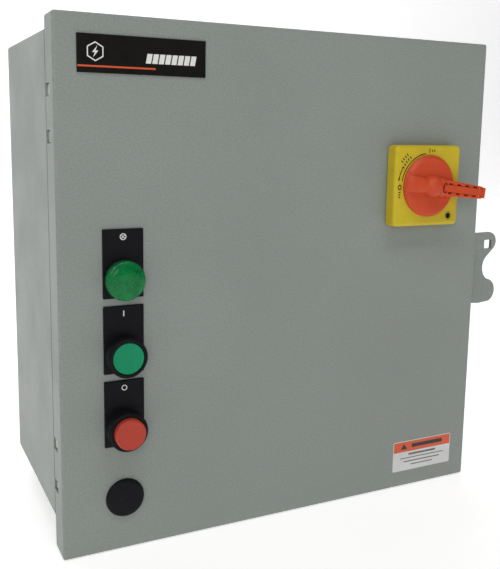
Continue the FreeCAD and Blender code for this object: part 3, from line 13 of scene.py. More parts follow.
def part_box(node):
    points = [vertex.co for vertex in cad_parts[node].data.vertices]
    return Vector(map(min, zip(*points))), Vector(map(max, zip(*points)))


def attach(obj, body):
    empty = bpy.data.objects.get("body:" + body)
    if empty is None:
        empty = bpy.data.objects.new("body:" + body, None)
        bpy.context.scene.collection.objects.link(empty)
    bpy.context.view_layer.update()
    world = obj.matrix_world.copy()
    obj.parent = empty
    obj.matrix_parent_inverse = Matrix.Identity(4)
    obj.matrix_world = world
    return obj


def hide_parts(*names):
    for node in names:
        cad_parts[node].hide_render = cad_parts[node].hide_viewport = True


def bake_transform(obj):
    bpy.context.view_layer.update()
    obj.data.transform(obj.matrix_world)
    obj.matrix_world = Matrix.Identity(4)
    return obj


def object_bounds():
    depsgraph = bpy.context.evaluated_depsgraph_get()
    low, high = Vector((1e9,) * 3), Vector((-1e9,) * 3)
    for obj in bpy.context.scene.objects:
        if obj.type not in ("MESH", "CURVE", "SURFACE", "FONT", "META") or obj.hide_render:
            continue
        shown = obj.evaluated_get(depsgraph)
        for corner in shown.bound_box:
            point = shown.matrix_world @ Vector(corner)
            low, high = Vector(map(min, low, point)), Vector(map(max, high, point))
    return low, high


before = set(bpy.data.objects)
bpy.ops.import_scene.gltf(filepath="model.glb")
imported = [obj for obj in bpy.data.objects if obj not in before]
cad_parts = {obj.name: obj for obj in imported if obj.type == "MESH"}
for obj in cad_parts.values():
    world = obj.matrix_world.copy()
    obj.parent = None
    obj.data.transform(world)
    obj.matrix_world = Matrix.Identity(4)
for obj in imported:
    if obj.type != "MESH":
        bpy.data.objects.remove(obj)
CAD_LOW, CAD_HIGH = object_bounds()
MM = 0.001
HANDLE_X = 120.0         # handle shaft
HANDLE_Z = 68.0
HANDLE_TILT = 7.0        # the grip hangs this far below level at rest
DISC_FRONT = -191.9      # front of the handle's disc
CAP_SKIRT_END = -183.5   # back of both push-button skirts
HUB_R = 9.4              # domed hub: its radius and its height above the disc
HUB_RISE = 9.4
SUNK = 0.5               # foot of the hub below the disc's front
POINTER_REACH = 24.8     # tip of the pointer from the shaft
ROOT_END = 10.9          # end of the swollen grip root
RECESS_X = 9.4           # oval recess where the grip's channel starts
RELEASE_X = 23.0         # release hole in the handle plate, right of and below the shaft
RELEASE_Z = -25.5
CAP_R = 11.5             # push-button caps and the stems behind them
STEM_R = 6.0
LENS_R = 14.35
INK_LIFT = 0.04          # prints stand this far off their plate
LOOM_R = 3.2
LOOM_BEND = 0.012        # bends, wrap pitch and both ends of the loom, in metres
LOOM_PITCH = 0.0075
LOOM_END_X = -0.1503
LOOM_END_Z = -0.0951


# --- materials ------------------------------------------------------------------
def material(name, colour, roughness, **sockets):
    """A Principled material; every constant sits on the shader's own socket."""
    made = bpy.data.materials.new(name)
    made.use_nodes = True
    shader = made.node_tree.nodes["Principled BSDF"]
    shader.inputs["Base Color"].default_value = (*colour, 1.0)
    shader.inputs["Roughness"].default_value = roughness
    for socket, value in sockets.items():
        shader.inputs[socket.replace("_", " ").title().replace("Ior", "IOR")].default_value = value
    return made


def texture(made, kind, scale, **settings):
    """A texture node fed by the piece's own coordinates, in metres."""
    tree = made.node_tree
    node = tree.nodes.new(kind)
    node.inputs["Scale"].default_value = scale
    for key, value in settings.items():
        node.inputs[key.title()].default_value = value
    place = tree.nodes.get("Place") or tree.nodes.new("ShaderNodeTexCoord")
    place.name = "Place"
    tree.links.new(place.outputs["Object"], node.inputs["Vector"])
    return node


def noise(made, scale, detail=3.0, roughness=0.5):
    return texture(made, "ShaderNodeTexNoise", scale, detail=detail, roughness=roughness).outputs["Fac"]


def spread(made, value, low, high, out_low=0.0, out_high=1.0):
    """Stretch a value between two limits."""
    node = made.node_tree.nodes.new("ShaderNodeMapRange")
    made.node_tree.links.new(value, node.inputs["Value"])
    for socket, number in zip(("From Min", "From Max", "To Min", "To Max"), (low, high, out_low, out_high)):
        node.inputs[socket].default_value = number
    return node.outputs["Result"]


def blend_colour(made, factor, first, second):
    """Mix two colours, or a colour over a socket, by a factor socket."""
    node = made.node_tree.nodes.new("ShaderNodeMix")
    node.data_type = "RGBA"
    made.node_tree.links.new(factor, node.inputs["Factor"])
    for socket, value in ((node.inputs[6], first), (node.inputs[7], second)):
        if isinstance(value, bpy.types.NodeSocket):
            made.node_tree.links.new(value, socket)
        else:
            socket.default_value = (*value, 1.0)
    return node.outputs[2]


def connect(made, value, socket):
    made.node_tree.links.new(value, made.node_tree.nodes["Principled BSDF"].inputs[socket])


def scaled(colour, factor):
    return tuple(c * factor for c in colour)


def mottle(made, colour, amount, scale, detail=4.0):
    """Colour that drifts a little lighter and darker over the surface."""
    patches = spread(made, noise(made, scale, detail), 0.32, 0.68)
    mixed = blend_colour(made, patches, scaled(colour, 1 - amount), scaled(colour, 1 + amount))
    connect(made, mixed, "Base Color")
    return mixed


def vary_roughness(made, low, high, scale, detail=4.0):
    connect(made, spread(made, noise(made, scale, detail), 0.3, 0.7, low, high), "Roughness")


def relief(made, layers):
    """Bump built from (height value, depth in metres) layers."""
    previous = None
    for value, depth in layers:
        node = made.node_tree.nodes.new("ShaderNodeBump")
        node.inputs["Distance"].default_value = depth
        made.node_tree.links.new(value, node.inputs["Height"])
        if previous:
            made.node_tree.links.new(previous, node.inputs["Normal"])
        previous = node.outputs["Normal"]
    connect(made, previous, "Normal")


def painted_steel(name, colour, roughness=0.42):
    """Baked enamel over rolled sheet: orange peel, slight waviness and faint handling marks."""
    made = material(name, colour, roughness, specular_ior_level=0.22)
    mixed = mottle(made, scaled(colour, 1.06), 0.035, 7.0)
    specks = spread(made, noise(made, 760.0, 2.0), 0.42, 0.66, 0.0, 0.42)
    connect(made, blend_colour(made, specks, mixed, scaled(colour, 0.72)), "Base Color")
    vary_roughness(made, roughness - 0.05, roughness + 0.07, 23.0)
    relief(made, [(noise(made, 5.0, 2.0), 0.0016), (noise(made, 700.0, 2.0), 0.00007)])
    return made


def moulded_plastic(name, colour, roughness=0.4, grain=0.00003, amount=0.05, **sockets):
    """Moulded plastic: fine spark-eroded grain, faint flow marks and uneven gloss."""
    made = material(name, colour, roughness, **sockets)
    mottle(made, colour, amount, 60.0)
    vary_roughness(made, roughness - 0.06, roughness + 0.08, 160.0)
    relief(made, [(noise(made, 40.0, 2.0), 0.00012), (noise(made, 2400.0, 2.0), grain)])
    return made


def plated_metal(name, colour, roughness=0.3, brush=(40.0, 40.0, 2200.0)):
    """Zinc or tin plate with a drawn grain and dull patches."""
    made = material(name, colour, roughness, metallic=1.0)
    mottle(made, colour, 0.12, 90.0)
    vary_roughness(made, roughness - 0.08, roughness + 0.14, 210.0)
    stretch = made.node_tree.nodes.new("ShaderNodeMapping")
    stretch.inputs["Scale"].default_value = brush
    grain = made.node_tree.nodes.new("ShaderNodeTexNoise")
    grain.inputs["Scale"].default_value = 1.0
    place = made.node_tree.nodes["Place"]
    made.node_tree.links.new(place.outputs["Object"], stretch.inputs["Vector"])
    made.node_tree.links.new(stretch.outputs["Vector"], grain.inputs["Vector"])
    relief(made, [(grain.outputs["Fac"], 0.00004)])
    return made


def laminated_steel(name, colour, axis, pitch=0.0005):
    """Stacked core plates: fine dark lines across the stack."""
    made = material(name, colour, 0.5, metallic=0.8)
    bands = texture(made, "ShaderNodeTexWave", 1.0 / (pitch * 6.2832), distortion=0.6)
    bands.bands_direction = axis
    lines = spread(made, bands.outputs["Fac"], 0.15, 0.6)
    mixed = blend_colour(made, lines, scaled(colour, 0.35), colour)
    rust = spread(made, noise(made, 70.0, 5.0), 0.55, 0.75, 0.0, 0.55)
    connect(made, blend_colour(made, rust, mixed, (0.16, 0.10, 0.06)), "Base Color")
    relief(made, [(bands.outputs["Fac"], 0.00008)])
    return made


def tape(name, colour, pitch=0.006):
    """Varnished tape wound in overlapping turns."""
    made = material(name, colour, 0.35, coat_weight=0.3)
    bands = texture(made, "ShaderNodeTexWave", 1.0 / (pitch * 6.2832), distortion=1.2)
    bands.bands_direction = "Z"
    bands.wave_profile = "SAW"
    mixed = blend_colour(made, spread(made, bands.outputs["Fac"], 0.0, 1.0), scaled(colour, 0.7), colour)
    stain = spread(made, noise(made, 80.0, 4.0), 0.45, 0.7, 0.0, 0.5)
    connect(made, blend_colour(made, stain, mixed, scaled(colour, 0.45)), "Base Color")
    relief(made, [(bands.outputs["Fac"], 0.0002)])
    return made


def printed_ink(name, colour, roughness=0.45):
    """Screen-printed ink with slightly uneven cover."""
    made = material(name, colour, roughness)
    mottle(made, colour, 0.06, 900.0)
    relief(made, [(noise(made, 3000.0, 2.0), 0.00001)])
    return made


def lens_green(name, colour):
    """Clear moulded lens: glossy skin over a deep body, with painted light in its colour: prism cells
    painted lighter and darker, and lighter patches painted in as a glow.
    """
    made = material(name, colour, 0.22, specular_ior_level=0.12, coat_weight=0.20, coat_roughness=0.06)
    prisms = texture(made, "ShaderNodeTexVoronoi", 620.0)
    # painted light: the prism cells are painted lighter and darker, for light bent through the clear prisms
    painted_prism_light = spread(made, prisms.outputs["Distance"], 0.1, 0.75)
    mixed = blend_colour(made, painted_prism_light, scaled(colour, 1.35), scaled(colour, 0.72))
    # painted glow: broad lighter patches in the colour, for light inside the unlit lens
    painted_glow_patch = spread(made, noise(made, 95.0, 2.0), 0.35, 0.7, 0.0, 0.7)
    connect(made, blend_colour(made, painted_glow_patch, mixed, scaled(colour, 1.7)), "Base Color")
    relief(made, [(noise(made, 60.0, 1.0), 0.00015)])
    return made


GREY_PAINT = painted_steel("grey_paint", (0.246, 0.270, 0.250))
PANEL_WHITE = painted_steel("panel_white", (0.72, 0.72, 0.69), 0.3)
ZINC = plated_metal("zinc_plate", (0.62, 0.62, 0.60), 0.34)
BRIGHT = plated_metal("bright_steel", (0.66, 0.66, 0.66), 0.22)
COPPER = plated_metal("copper", (0.72, 0.40, 0.26), 0.28, (2200.0, 40.0, 40.0))
TIN = plated_metal("tin_plate", (0.70, 0.71, 0.72), 0.38)
CORE_STEEL = laminated_steel("core_plates", (0.32, 0.32, 0.33), "X")
COIL_TAPE = tape("coil_tape", (0.50, 0.36, 0.07))
BLACK = moulded_plastic("black_plastic", (0.0050, 0.0050, 0.0072), 0.50, specular_ior_level=0.12)
DEVICE = moulded_plastic("device_plastic", (0.024, 0.025, 0.028), 0.5, specular_ior_level=0.3)
COVER = moulded_plastic("cover_plastic", (0.36, 0.37, 0.36), 0.5)
DIAL = moulded_plastic("dial_plastic", (0.62, 0.61, 0.56), 0.42)
RESET_BLUE = moulded_plastic("reset_blue", (0.02, 0.07, 0.34), 0.35)
TERMINAL = moulded_plastic("terminal_plastic", (0.42, 0.41, 0.36), 0.5)
LENS_GREEN = lens_green("lens_green", (0.0015, 0.125, 0.030))
BUTTON_GREEN = moulded_plastic("button_green", (0.0060, 0.235, 0.108), 0.42, specular_ior_level=0.15)
BUTTON_RED = moulded_plastic("button_red", (0.420, 0.045, 0.024), 0.36, specular_ior_level=0.25)
HANDLE_RED = moulded_plastic("handle_red", (0.560, 0.066, 0.020), 0.44, specular_ior_level=0.22)
YELLOW = moulded_plastic("handle_yellow", (0.560, 0.430, 0.022), 0.44, specular_ior_level=0.22)
NAMEPLATE = moulded_plastic("nameplate_film", (0.0060, 0.0052, 0.0046), 0.40, specular_ior_level=0.15)
LABEL_WHITE = moulded_plastic("label_white", (0.62, 0.62, 0.61), 0.42, specular_ior_level=0.25)
RUBBER = moulded_plastic("gasket_rubber", (0.012, 0.012, 0.012), 0.75, specular_ior_level=0.2)
SLEEVE = moulded_plastic("wire_sleeve", (0.012, 0.012, 0.014), 0.46, specular_ior_level=0.25)
GLAZE = moulded_plastic("fuse_glaze", (0.66, 0.63, 0.54), 0.22)
INK_WHITE = printed_ink("ink_white", (0.72, 0.72, 0.70))
INK_BLACK = printed_ink("ink_black", (0.016, 0.015, 0.014))
INK_ORANGE = printed_ink("ink_orange", (0.62, 0.085, 0.02))
INK_GREY = printed_ink("ink_grey", (0.11, 0.11, 0.11))

NODE_LOOKS = {
    GREY_PAINT: ("enclosure_box", "door_panel", "door_hasp", "box_hasp"),
    PANEL_WHITE: ("mounting_panel",),
    ZINC: ("box_hinge_leaves", "door_hinge_leaves", "panel_fasteners", "din_rails", "handle_screws",
           "terminal_screws"),
    BRIGHT: ("hinge_pins", "start_spring", "stop_spring", "return_springs", "extension_shaft"),
    TIN: ("ground_lug",),
    COPPER: ("fixed_contacts", "moving_contacts"),
    CORE_STEEL: ("armature_core", "magnet_core", "transformer_core"),
    COIL_TAPE: ("contactor_coil", "transformer_winding"),
    BLACK: ("legend_plates", "run_bezel", "start_bezel", "stop_bezel", "hole_plug", "device_nuts",
            "breaker_knob"),
    DEVICE: ("run_lamp_block", "contact_blocks", "handle_coupling", "breaker_base", "contactor_base",
             "overload_body", "fuse_block"),
    COVER: ("breaker_cover", "contactor_cover", "transformer_terminals"),
    DIAL: ("breaker_dial", "contact_carrier", "overload_dial"),
    RESET_BLUE: ("overload_reset",),
    TERMINAL: ("terminal_blocks",),
    LENS_GREEN: ("run_lens",),
    BUTTON_GREEN: ("start_button",),
    BUTTON_RED: ("stop_button",),
    HANDLE_RED: ("handle_knob", "handle_slide"),
    YELLOW: ("handle_plate",),
    NAMEPLATE: ("nameplate",),
    LABEL_WHITE: ("warning_label",),
    RUBBER: ("handle_gasket",),
    SLEEVE: ("power_wires", "control_wires", "door_harness", "door_loom"),
    GLAZE: ("fuses",),
}


def dress_nodes():
    """Give every CAD node its finish."""
    for look, names in NODE_LOOKS.items():
        for name in names:
            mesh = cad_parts[name].data
            mesh.materials.clear()
            mesh.materials.append(look)


# --- prints -------------------------------------------------------------------
def bar(x0, z0, x1, z1, width):
    """A straight stroke, in mm, seen from the front."""
    along = Vector((x1 - x0, z1 - z0)).normalized() * (width / 2)
    side = Vector((-along.y, along.x))
    first, last = Vector((x0, z0)), Vector((x1, z1))
    return [[first - side, last - side, last + side, first + side]]


def arc(x, z, radius, width, start=0.0, end=360.0, flat=1.0):
    """A curved stroke round (x, z) between two angles in degrees; flat squeezes it upright."""
    steps = max(6, round(abs(end - start) / 8))
    rims = []
    for r in (radius - width / 2, radius + width / 2):
        rims.append([])
        for step in range(steps + 1):
            angle = math.radians(start + (end - start) * step / steps)
            rims[-1].append(Vector((x + r * math.cos(angle), z + r * flat * math.sin(angle))))
    inner, outer = rims
    return [[inner[i], inner[i + 1], outer[i + 1], outer[i]] for i in range(steps)]


def slanted(x, z, width, height, lean):
    """A leaning block whose foot starts at (x, z)."""
    return [[Vector((x, z)), Vector((x + width, z)), Vector((x + width + lean, z + height)),
             Vector((x + lean, z + height))]]


def outline(points):
    return [[Vector(point) for point in points]]


def finished(name, build, look, crease=None):
    """Turn a bmesh into a linked piece of one material, smooth up to a crease angle if given."""
    bmesh.ops.recalc_face_normals(build, faces=build.faces)
    mesh = bpy.data.meshes.new(name)
    build.to_mesh(mesh)
    build.free()
    if crease:
        mesh.shade_smooth()
        mesh.set_sharp_from_angle(angle=math.radians(crease))
    mesh.materials.append(look)
    obj = bpy.data.objects.new(name, mesh)
    bpy.context.scene.collection.objects.link(obj)
    return obj


def printed(name, body, look, front_y, faces, depth=0.05):
    """Thin raised ink that faces -Y, from flat faces in mm."""
    build = bmesh.new()
    for corners in faces:
        build.faces.new([build.verts.new((c.x * MM, front_y * MM, c.y * MM)) for c in corners])
    bmesh.ops.remove_doubles(build, verts=build.verts, dist=1e-6)
    grown = bmesh.ops.extrude_face_region(build, geom=build.faces[:])
    back = [part for part in grown["geom"] if isinstance(part, bmesh.types.BMVert)]
    bmesh.ops.translate(build, vec=(0, depth * MM, 0), verts=back)
    obj = finished(name, build, look)
    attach(obj, body)


def in_mm(node):
    """Left, right, front, bottom and top of a CAD node, in mm."""
    low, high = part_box(node)
    return low.x / MM, high.x / MM, low.y / MM, low.z / MM, high.z / MM


def nameplate_print():
    """Hexagon badge with a spark, a rule and an even row of leaning blocks."""
    left, _, front, _, top = in_mm("nameplate")
    badge_x, badge_z = left + 12.7, top - 11.6
    faces = []
    for i in range(6):
        a, b = math.radians(60 * i + 30), math.radians(60 * i + 90)
        inner, outer = 5.7, 6.6
        faces.append([Vector((badge_x + r * math.cos(t), badge_z + r * math.sin(t)))
                      for r, t in ((inner, a), (inner, b), (outer, b), (outer, a))])
    for way in (1, -1):
        faces += outline([(badge_x + way * 1.5, badge_z + way * 4.0),
                          (badge_x - way * 2.2, badge_z - way * 0.6),
                          (badge_x - way * 0.2, badge_z - way * 0.6)])
    for i in range(8):
        faces += slanted(left + 48.4 + 4.7 * i, top - 17.8, 3.8, 6.6, 1.3)
    printed("nameplate_marks", "door", INK_WHITE, front - INK_LIFT, faces)
    rule = bar(left + 0.4, top - 21.3, left + 55.6, top - 21.3, 1.2)
    printed("nameplate_rule", "door", INK_ORANGE, front - INK_LIFT, rule)


def legend_print():
    """Symbols above the operators: lamp for running, a stroke for start and a ring for stop."""
    low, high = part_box("legend_plates")
    x = (low.x + high.x) / 2 / MM
    front = low.y / MM + 0.3
    pitch = ((high.z - low.z) / MM - 50.0) / 2
    run, start, stop = (high.z / MM - 5.6 - pitch * i for i in range(3))
    for name, lean, lift in (("run_cross_down", -1, 0.0), ("run_cross_up", 1, 0.01)):
        stroke = bar(x - 1.25, run - lean * 1.25, x + 1.25, run + lean * 1.25, 0.5)
        printed(name, "door", INK_WHITE, front - INK_LIFT - lift, stroke)
    symbols = {
        "run_symbol": arc(x, run, 2.1, 0.6),
        "start_symbol": bar(x, start - 2.1, x, start + 2.1, 0.75),
        "stop_symbol": arc(x, stop, 1.8, 0.65),
    }
    for name, faces in symbols.items():
        printed(name, "door", INK_WHITE, front - INK_LIFT, faces)


def handle_print():
    """Position marks round the dial and the ring round the release hole."""
    x, z = HANDLE_X, HANDLE_Z
    front = in_mm("handle_plate")[2]
    tip = math.radians(168)
    tip_x, tip_z = x + 30.4 * math.cos(tip), z + 30.4 * math.sin(tip)
    strokes = {
        "on_stroke": bar(x + 0.3, z + 27.4, x + 0.3, z + 30.9, 0.95),
        "off_ring": arc(x - 28.9, z - 0.8, 1.5, 0.85, flat=1.18),
        "sweep_arc": arc(x, z, 27.0, 0.8, 98, 171),
        "return_arc": arc(x, z, 30.4, 0.8, 150, 168),
        "return_arrow": outline([(tip_x - 0.3, tip_z - 2.6), (tip_x + 1.1, tip_z + 0.1),
                                 (tip_x - 1.1, tip_z + 0.5)]),
        "release_ring": arc(x + RELEASE_X, z + RELEASE_Z, 3.5, 0.35),
    }
    ticks = []
    for row, reach in enumerate((29.0, 32.8)):
        for i in range(5 - row):
            angle = math.radians(141.0 - 4.2 * row + (5.0 - 0.7 * row) * (1.6 - i))
            out = Vector((math.cos(angle), math.sin(angle)))
            foot, head = out * reach, out * (reach + 2.4)
            ticks += bar(x + foot.x, z + foot.y, x + head.x, z + head.y, 1.0)
    for i in range(2):
        ticks += bar(x + 3.2 + 2.1 * i, z + 28.0, x + 3.2 + 2.1 * i, z + 30.0, 1.0)
    for i in range(3):
        ticks += bar(x - 29.8, z - 5.0 - 2.0 * i, x - 27.8, z - 5.0 - 2.0 * i, 1.0)
    strokes["ticks"] = ticks
    for name, faces in strokes.items():
        printed("handle_" + name, "door", INK_BLACK, front - INK_LIFT, faces)


def label_print():
    """Orange band over centred rows of plain grey rules, with no words."""
    left, right, front, bottom, top = in_mm("warning_label")
    band = top - 0.36 * (top - bottom)
    printed("label_band", "door", INK_ORANGE, front - INK_LIFT,
            slanted(left + 0.6, band, right - left - 1.2, top - band - 0.6, 0.0))
    marks = slanted(left + 20.0, band + 3.2, 34.0, 3.4, 0.0)
    marks += outline([(left + 8.0, band + 2.4), (left + 15.0, band + 2.4), (left + 11.5, band + 7.6)])
    printed("label_marks", "door", INK_BLACK, front - 0.10, marks)
    rules = []
    for row, (half, weight) in enumerate(((15.0, 1.7), (24.0, 0.8), (20.0, 1.0), (12.0, 0.9))):
        z = band - 2.8 - 3.3 * row
        rules += bar((left + right) / 2 - half, z, (left + right) / 2 + half, z, weight)
    printed("label_rules", "door", INK_GREY, front - INK_LIFT, rules)


def release_hole_shade():
    """Black disc just inside the release hole in the handle plate: painted shade for the dark depth of the
    hole.
    """
    radius = 2.5
    front = in_mm("handle_plate")[2]
    x, z = HANDLE_X + RELEASE_X, HANDLE_Z + RELEASE_Z
    faces = [[Vector((x + radius * math.cos(a), z + radius * math.sin(a)))
              for a in (math.radians(15 * i) for i in range(24))]]
    # painted shade: a black disc stands half a millimetre inside the hole
    printed("release_hole_shade", "door", BLACK, front + 0.5, faces, depth=6.0)


# --- turned pieces ---------------------------------------------------------------
def place_mesh(name, build, body, look, node, crease=40):
    """Put a smooth-shaded piece on a body, in place of a CAD node if one is named."""
    obj = finished(name, build, look, crease)
    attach(obj, body)
    if node:
        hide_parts(node)


def turned(profile, x, z, sides=96, rib=lambda y, angle: 0.0):
    """Revolve (radius, y) points, in mm, round a line along Y; rib adds to the radius."""
    build = bmesh.new()
    rims = []
    for radius, y in profile:
        if radius < 0.01:
            rims.append([build.verts.new((x * MM, y * MM, z * MM))])
            continue
        rim = []
        for k in range(sides):
            angle = 2 * math.pi * k / sides
            r = radius + rib(y, angle)
            across, up = x + r * math.cos(angle), z + r * math.sin(angle)
            rim.append(build.verts.new((across * MM, y * MM, up * MM)))
        rims.append(rim)
    for one, two in zip(rims, rims[1:]):
        for k in range(sides):
            corners = [one[k % len(one)], one[(k + 1) % len(one)],
                       two[(k + 1) % len(two)], two[k % len(two)]]
            unique = list(dict.fromkeys(corners))
            if len(unique) > 2:
                build.faces.new(unique)
    return build


def rim_curve(radius, y, size, steps=6):
    """Quarter-round from a flat face at y to a side at the radius."""
    points = []
    for i in range(steps + 1):
        angle = math.radians(90 * i / steps)
        points.append((radius - size + size * math.sin(angle), y + size - size * math.cos(angle)))
    return points


def middle(node):
    """Centre line of a turned CAD node, with its front and its back, in mm."""
    low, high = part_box(node)
    return (low.x + high.x) / 2 / MM, (low.z + high.z) / 2 / MM, low.y / MM, high.y / MM


def caps():
    """Push-button caps: a flat raised rim round a shallow dish, on a skirt and stem."""
    for node, body, look, slot, size in (("start_button", "start_push", BUTTON_GREEN, "green_plastic", 0.5),
                                         ("stop_button", "stop_push", BUTTON_RED, "red_plastic", 1.5)):
        x, z, front, end = middle(node)
        dish = CAP_R - size
        profile = [(0, front + 0.5), (dish * 0.45, front + 0.42), (dish * 0.85, front + 0.24),
                   (dish - 0.5, front + 0.10), (dish - 0.15, front)]
        profile += rim_curve(CAP_R, front, size)
        profile += [(CAP_R, CAP_SKIRT_END), (STEM_R, CAP_SKIRT_END)]
        profile += [(STEM_R, end - 4.0), (3.0, end - 2.0), (3.0, end), (0, end)]
        place_mesh(node.replace("button", "cap"), turned(profile, x, z), body, look, node)


def lens():
    """Pilot lens: ribbed skirt, two-step shoulder and a softly domed face."""
    x, z, front, seat = middle("run_lens")

    def rib(y, angle):
        return 0.10 * math.cos(90 * angle) if y > front + 3.4 else 0.0

    profile = [(0, front), (5.0, front + 0.12), (9.0, front + 0.42), (11.2, front + 0.80)]
    profile += [(11.45, front + 1.05), (11.75, front + 1.10)]
    profile += [(LENS_R - 2.4 + 2.4 * math.sin(a), front + 3.3 - 2.2 * math.cos(a))
                for a in (math.radians(d) for d in (10, 26, 42, 58, 74, 90))]
    profile += [(LENS_R, front + 3.6), (LENS_R, seat - 0.5), (LENS_R - 0.4, seat), (12.0, seat),
                (12.0, seat - 2.0), (0, seat - 2.0)]
    place_mesh("run_lens_cap", turned(profile, x, z, 360, rib), "door", LENS_GREEN,
               "run_lens", 60)


# --- handle -----------------------------------------------------------------------
def smooth_max(a, b, width):
    """The larger of two heights, with a soft fillet where they meet."""
    t = max(0.0, min(1.0, 0.5 + 0.5 * (a - b) / width))
    return b + (a - b) * t + width * t * (1 - t)


def mound(height, z, half_width, power):
    """Height across a rounded ridge."""
    return (height + SUNK) * max(0.0, 1 - (abs(z) / half_width) ** power) ** 0.5 - SUNK


def knob_height(x, z):
    """Height of the hub, pointer and grip root above the disc, in mm, with the grip level."""
    hub = mound(HUB_RISE, math.hypot(x, z), HUB_R, 2)
    reach = max(0.0, min(1.0, (x + POINTER_REACH) / POINTER_REACH))
    crest = 8.3 * (1 - (1 - reach) ** 2) ** 0.4 - 2.4
    waist = 1.0 * math.exp(-((x + 7.5) / 5.0) ** 2)
    pointer = mound(crest, z, 7.3 - waist, 3) if x < 2 else -SUNK
    height = smooth_max(hub, pointer, 0.7)
    if x > 2:
        swell = min(1.0, (x - 2) / 4.0)
        height = smooth_max(height, swell * mound(7.2, z, 8.0, 5) - SUNK * (1 - swell), 0.9)
    recess = math.hypot(min(x - RECESS_X, 0.0) / 3.0, z / 3.7)
    if x > RECESS_X - 3.2 and recess < 1.12:
        depth = max(0.0, min(1.0, (1.12 - recess) / 0.12))
        height += (1.3 - height) * depth
    return max(-SUNK, height)


def tilted(build, degrees):
    """Turn a handle piece about its shaft."""
    bmesh.ops.rotate(build, verts=build.verts, cent=(HANDLE_X * MM, 0, HANDLE_Z * MM),
                     matrix=Matrix.Rotation(math.radians(degrees), 3, "Y"))
    return build


def disc_and_grip():
    """The handle's disc and slotted grip, cleared for the rounded hub."""
    build = bmesh.new()
    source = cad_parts["handle_knob"]
    build.from_mesh(source.data)
    build.transform(source.matrix_world)
    tilted(build, -HANDLE_TILT)
    front = (DISC_FRONT - 0.02) * MM
    end = (HANDLE_X + ROOT_END - 0.4) * MM
    for place, normal in (((0, front, 0), (0, 1, 0)), ((end, 0, 0), (1, 0, 0))):
        parts = build.verts[:] + build.edges[:] + build.faces[:]
        bmesh.ops.bisect_plane(build, geom=parts, plane_co=place, plane_no=normal)
    proud = [f for f in build.faces
             if f.calc_center_median().y < front - 0.01 * MM and f.calc_center_median().x < end]
    bmesh.ops.delete(build, geom=proud, context="FACES")
    return tilted(build, HANDLE_TILT)


def hub_mound():
    """Domed hub, pointer and grip root, closed behind by the disc."""
    build = bmesh.new()
    step = 0.25
    across = [-9.75 + step * k for k in range(79)]
    along = [-POINTER_REACH + step * k for k in range(int((ROOT_END + POINTER_REACH) / step) + 1)]
    rows = []
    for x in along:
        heights = [knob_height(x, z) for z in across]
        rows.append([build.verts.new(((HANDLE_X + x) * MM, (DISC_FRONT - h) * MM, (HANDLE_Z + z) * MM))
                     for z, h in zip(across, heights)])
    foot = [build.verts.new((v.co.x, (DISC_FRONT + SUNK) * MM, v.co.z)) for v in rows[-1]]
    rows.append(foot)
    for one, two in zip(rows, rows[1:]):
        for k in range(len(across) - 1):
            build.faces.new((one[k], one[k + 1], two[k + 1], two[k]))
    return tilted(build, HANDLE_TILT)


def handle():
    """Rotary handle: disc, slotted grip and rounded hub."""
    place_mesh("handle", disc_and_grip(), "handle", HANDLE_RED, "handle_knob", 30)
    place_mesh("handle_hub", hub_mound(), "handle", HANDLE_RED, None, 60)


# --- loom across the hinge ------------------------------------------------------
def rounded_path(corners, bend, step):
    """Closely spaced points along straight runs joined by arcs."""
    points = [Vector(corners[0])]
    for before, corner, after in zip(corners, corners[1:], corners[2:]):
        before, corner, after = Vector(before), Vector(corner), Vector(after)
        into, out = (corner - before).normalized(), (after - corner).normalized()
        reach = bend * math.tan(into.angle(out) / 2)
        first, last = corner - into * reach, corner + out * reach
        for i in range(13):
            t = i / 12
            points.append(first * (1 - t) ** 2 + corner * (2 * t * (1 - t)) + last * t ** 2)
    points.append(Vector(corners[-1]))
    fine = [points[0]]
    for a, b in zip(points, points[1:]):
        count = max(1, round((b - a).length / step))
        fine += [a.lerp(b, (i + 1) / count) for i in range(count)]
    return fine


def loom():
    """Spiral-wrapped bundle that bends from the box to the door beside the hinge."""
    low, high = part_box("door_loom")
    radius = LOOM_R * MM
    side, back, foot = low.x + radius, high.y - radius, low.z + radius
    near, top = low.y + radius, high.z - radius
    corners = [(LOOM_END_X, near, top), (side, near, top), (side, near, foot), (side, back, foot),
               (high.x - radius, back, foot), (high.x - radius, back, LOOM_END_Z)]
    path = rounded_path(corners, LOOM_BEND, 0.0008)
    rims = []
    sides = 14
    axis = (path[1] - path[0]).normalized()
    across = axis.orthogonal().normalized()
    build = bmesh.new()
    travelled = 0.0
    for i, point in enumerate(path):
        ahead = (path[min(i + 1, len(path) - 1)] - path[max(i - 1, 0)]).normalized()
        across = (across - ahead * across.dot(ahead)).normalized()
        other = ahead.cross(across)
        travelled += (point - path[max(i - 1, 0)]).length
        rim = []
        for k in range(sides):
            turn = 2 * math.pi * k / sides
            groove = 0.5 + 0.5 * math.sin(2 * math.pi * travelled / LOOM_PITCH + turn)
            reach = radius * (0.90 + 0.09 * min(1.0, groove * 3.0))
            rim.append(build.verts.new(point + (across * math.cos(turn) + other * math.sin(turn)) * reach))
        rims.append(rim)
    for one, two in zip(rims, rims[1:]):
        for k in range(sides):
            build.faces.new((one[k], one[(k + 1) % sides], two[(k + 1) % sides], two[k]))
    build.faces.new(list(reversed(rims[0])))
    build.faces.new(rims[-1])
    obj = finished("door_loom_wrap", build, SLEEVE, 50)
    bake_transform(obj)
    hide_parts("door_loom")


# --- stage ------------------------------------------------------------------------
def camera():
    """The view of the left front corner, a little from above."""
    data = bpy.data.cameras.new("view")
    data.sensor_width = 36.0
    data.lens = 49.34
    data.shift_x = 0.0093
    data.shift_y = -0.0525
    eye = bpy.data.objects.new("view", data)
    bpy.context.scene.collection.objects.link(eye)
    right = Vector((0.8999, -0.4359, 0.0148))
    up = Vector((0.0539, 0.1449, 0.9880))
    look = Vector((0.4328, 0.8882, -0.1539))
    turn = Matrix((right, up, -look)).transposed().to_4x4()
    eye.matrix_world = Matrix.Translation((-0.30209, -0.70652, 0.10921)) @ turn
    bpy.context.scene.camera = eye


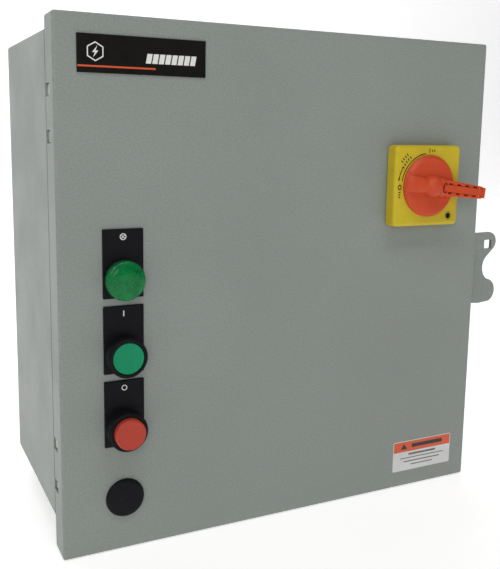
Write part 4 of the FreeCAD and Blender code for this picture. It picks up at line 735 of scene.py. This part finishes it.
def area_light(name, place, target, size, power, colour=(1.0, 1.0, 1.0), glint=False):
    data = bpy.data.lights.new(name, "AREA")
    data.shape = "RECTANGLE"
    data.size, data.size_y = size
    data.energy = power
    data.color = colour
    lamp = bpy.data.objects.new(name, data)
    lamp.visible_diffuse = not glint
    lamp.location = place
    direction = Vector(target) - Vector(place)
    lamp.rotation_euler = direction.to_track_quat("-Z", "Y").to_euler()
    bpy.context.scene.collection.objects.link(lamp)


def backdrop():
    """A pale floor that curves up into a pale wall behind."""
    floor_z = CAD_LOW.z - 0.0005
    near, far, rise, radius = -4.0, 2.6, 4.0, 1.2
    path = [(near, floor_z), (far - radius, floor_z)]
    for step in range(1, 17):
        angle = math.radians(90 * step / 16)
        path.append((far - radius + radius * math.sin(angle), floor_z + radius * (1 - math.cos(angle))))
    path.append((far, floor_z + rise))
    mesh = bpy.data.meshes.new("backdrop")
    verts = [(x, y, z) for y, z in path for x in (-6.0, 6.0)]
    faces = [(2 * i, 2 * i + 1, 2 * i + 3, 2 * i + 2) for i in range(len(path) - 1)]
    mesh.from_pydata(verts, [], faces)
    mesh.shade_smooth()
    look = material("backdrop_paper", (0.90, 0.90, 0.90), 0.8)
    mottle(look, (0.90, 0.90, 0.90), 0.01, 1.5)
    paper = look.node_tree.nodes["Principled BSDF"]
    paper.inputs["Emission Color"].default_value = (1.0, 1.0, 1.0, 1.0)
    paper.inputs["Emission Strength"].default_value = 0.45
    mesh.materials.append(look)
    obj = bpy.data.objects.new("backdrop", mesh)
    bpy.context.scene.collection.objects.link(obj)


def studio():
    world = bpy.data.worlds.new("studio")
    bpy.context.scene.world = world
    world.use_nodes = True
    sky = world.node_tree.nodes["Background"]
    sky.inputs["Color"].default_value = (1.0, 1.0, 1.0, 1.0)
    sky.inputs["Strength"].default_value = 0.12
    area_light("key_softbox", (-1.60, -0.70, 1.20), (0, 0, 0), (0.9, 0.9), 3.0, (1.0, 0.96, 0.88))
    area_light("fill_softbox", (-1.00, -1.90, 0.80), (0, 0, 0), (1.2, 0.9), 10.5)
    area_light("top_strip", (0.00, -1.00, 1.80), (0, 0, 0), (1.4, 0.4), 14.0)
    area_light("glint", (-1.20, -1.10, 1.50), (-0.1, -0.18, 0), (0.30, 0.30), 9.0, glint=True)
    area_light("backdrop_wash", (0.0, 0.9, 2.4), (0, 2.6, 0.4), (3.0, 1.0), 30.0)
    bpy.context.scene.view_settings.view_transform = "Standard"


dress_nodes()
nameplate_print()
legend_print()
handle_print()
label_print()
release_hole_shade()
caps()
lens()
handle()
loom()
camera()
backdrop()
studio()
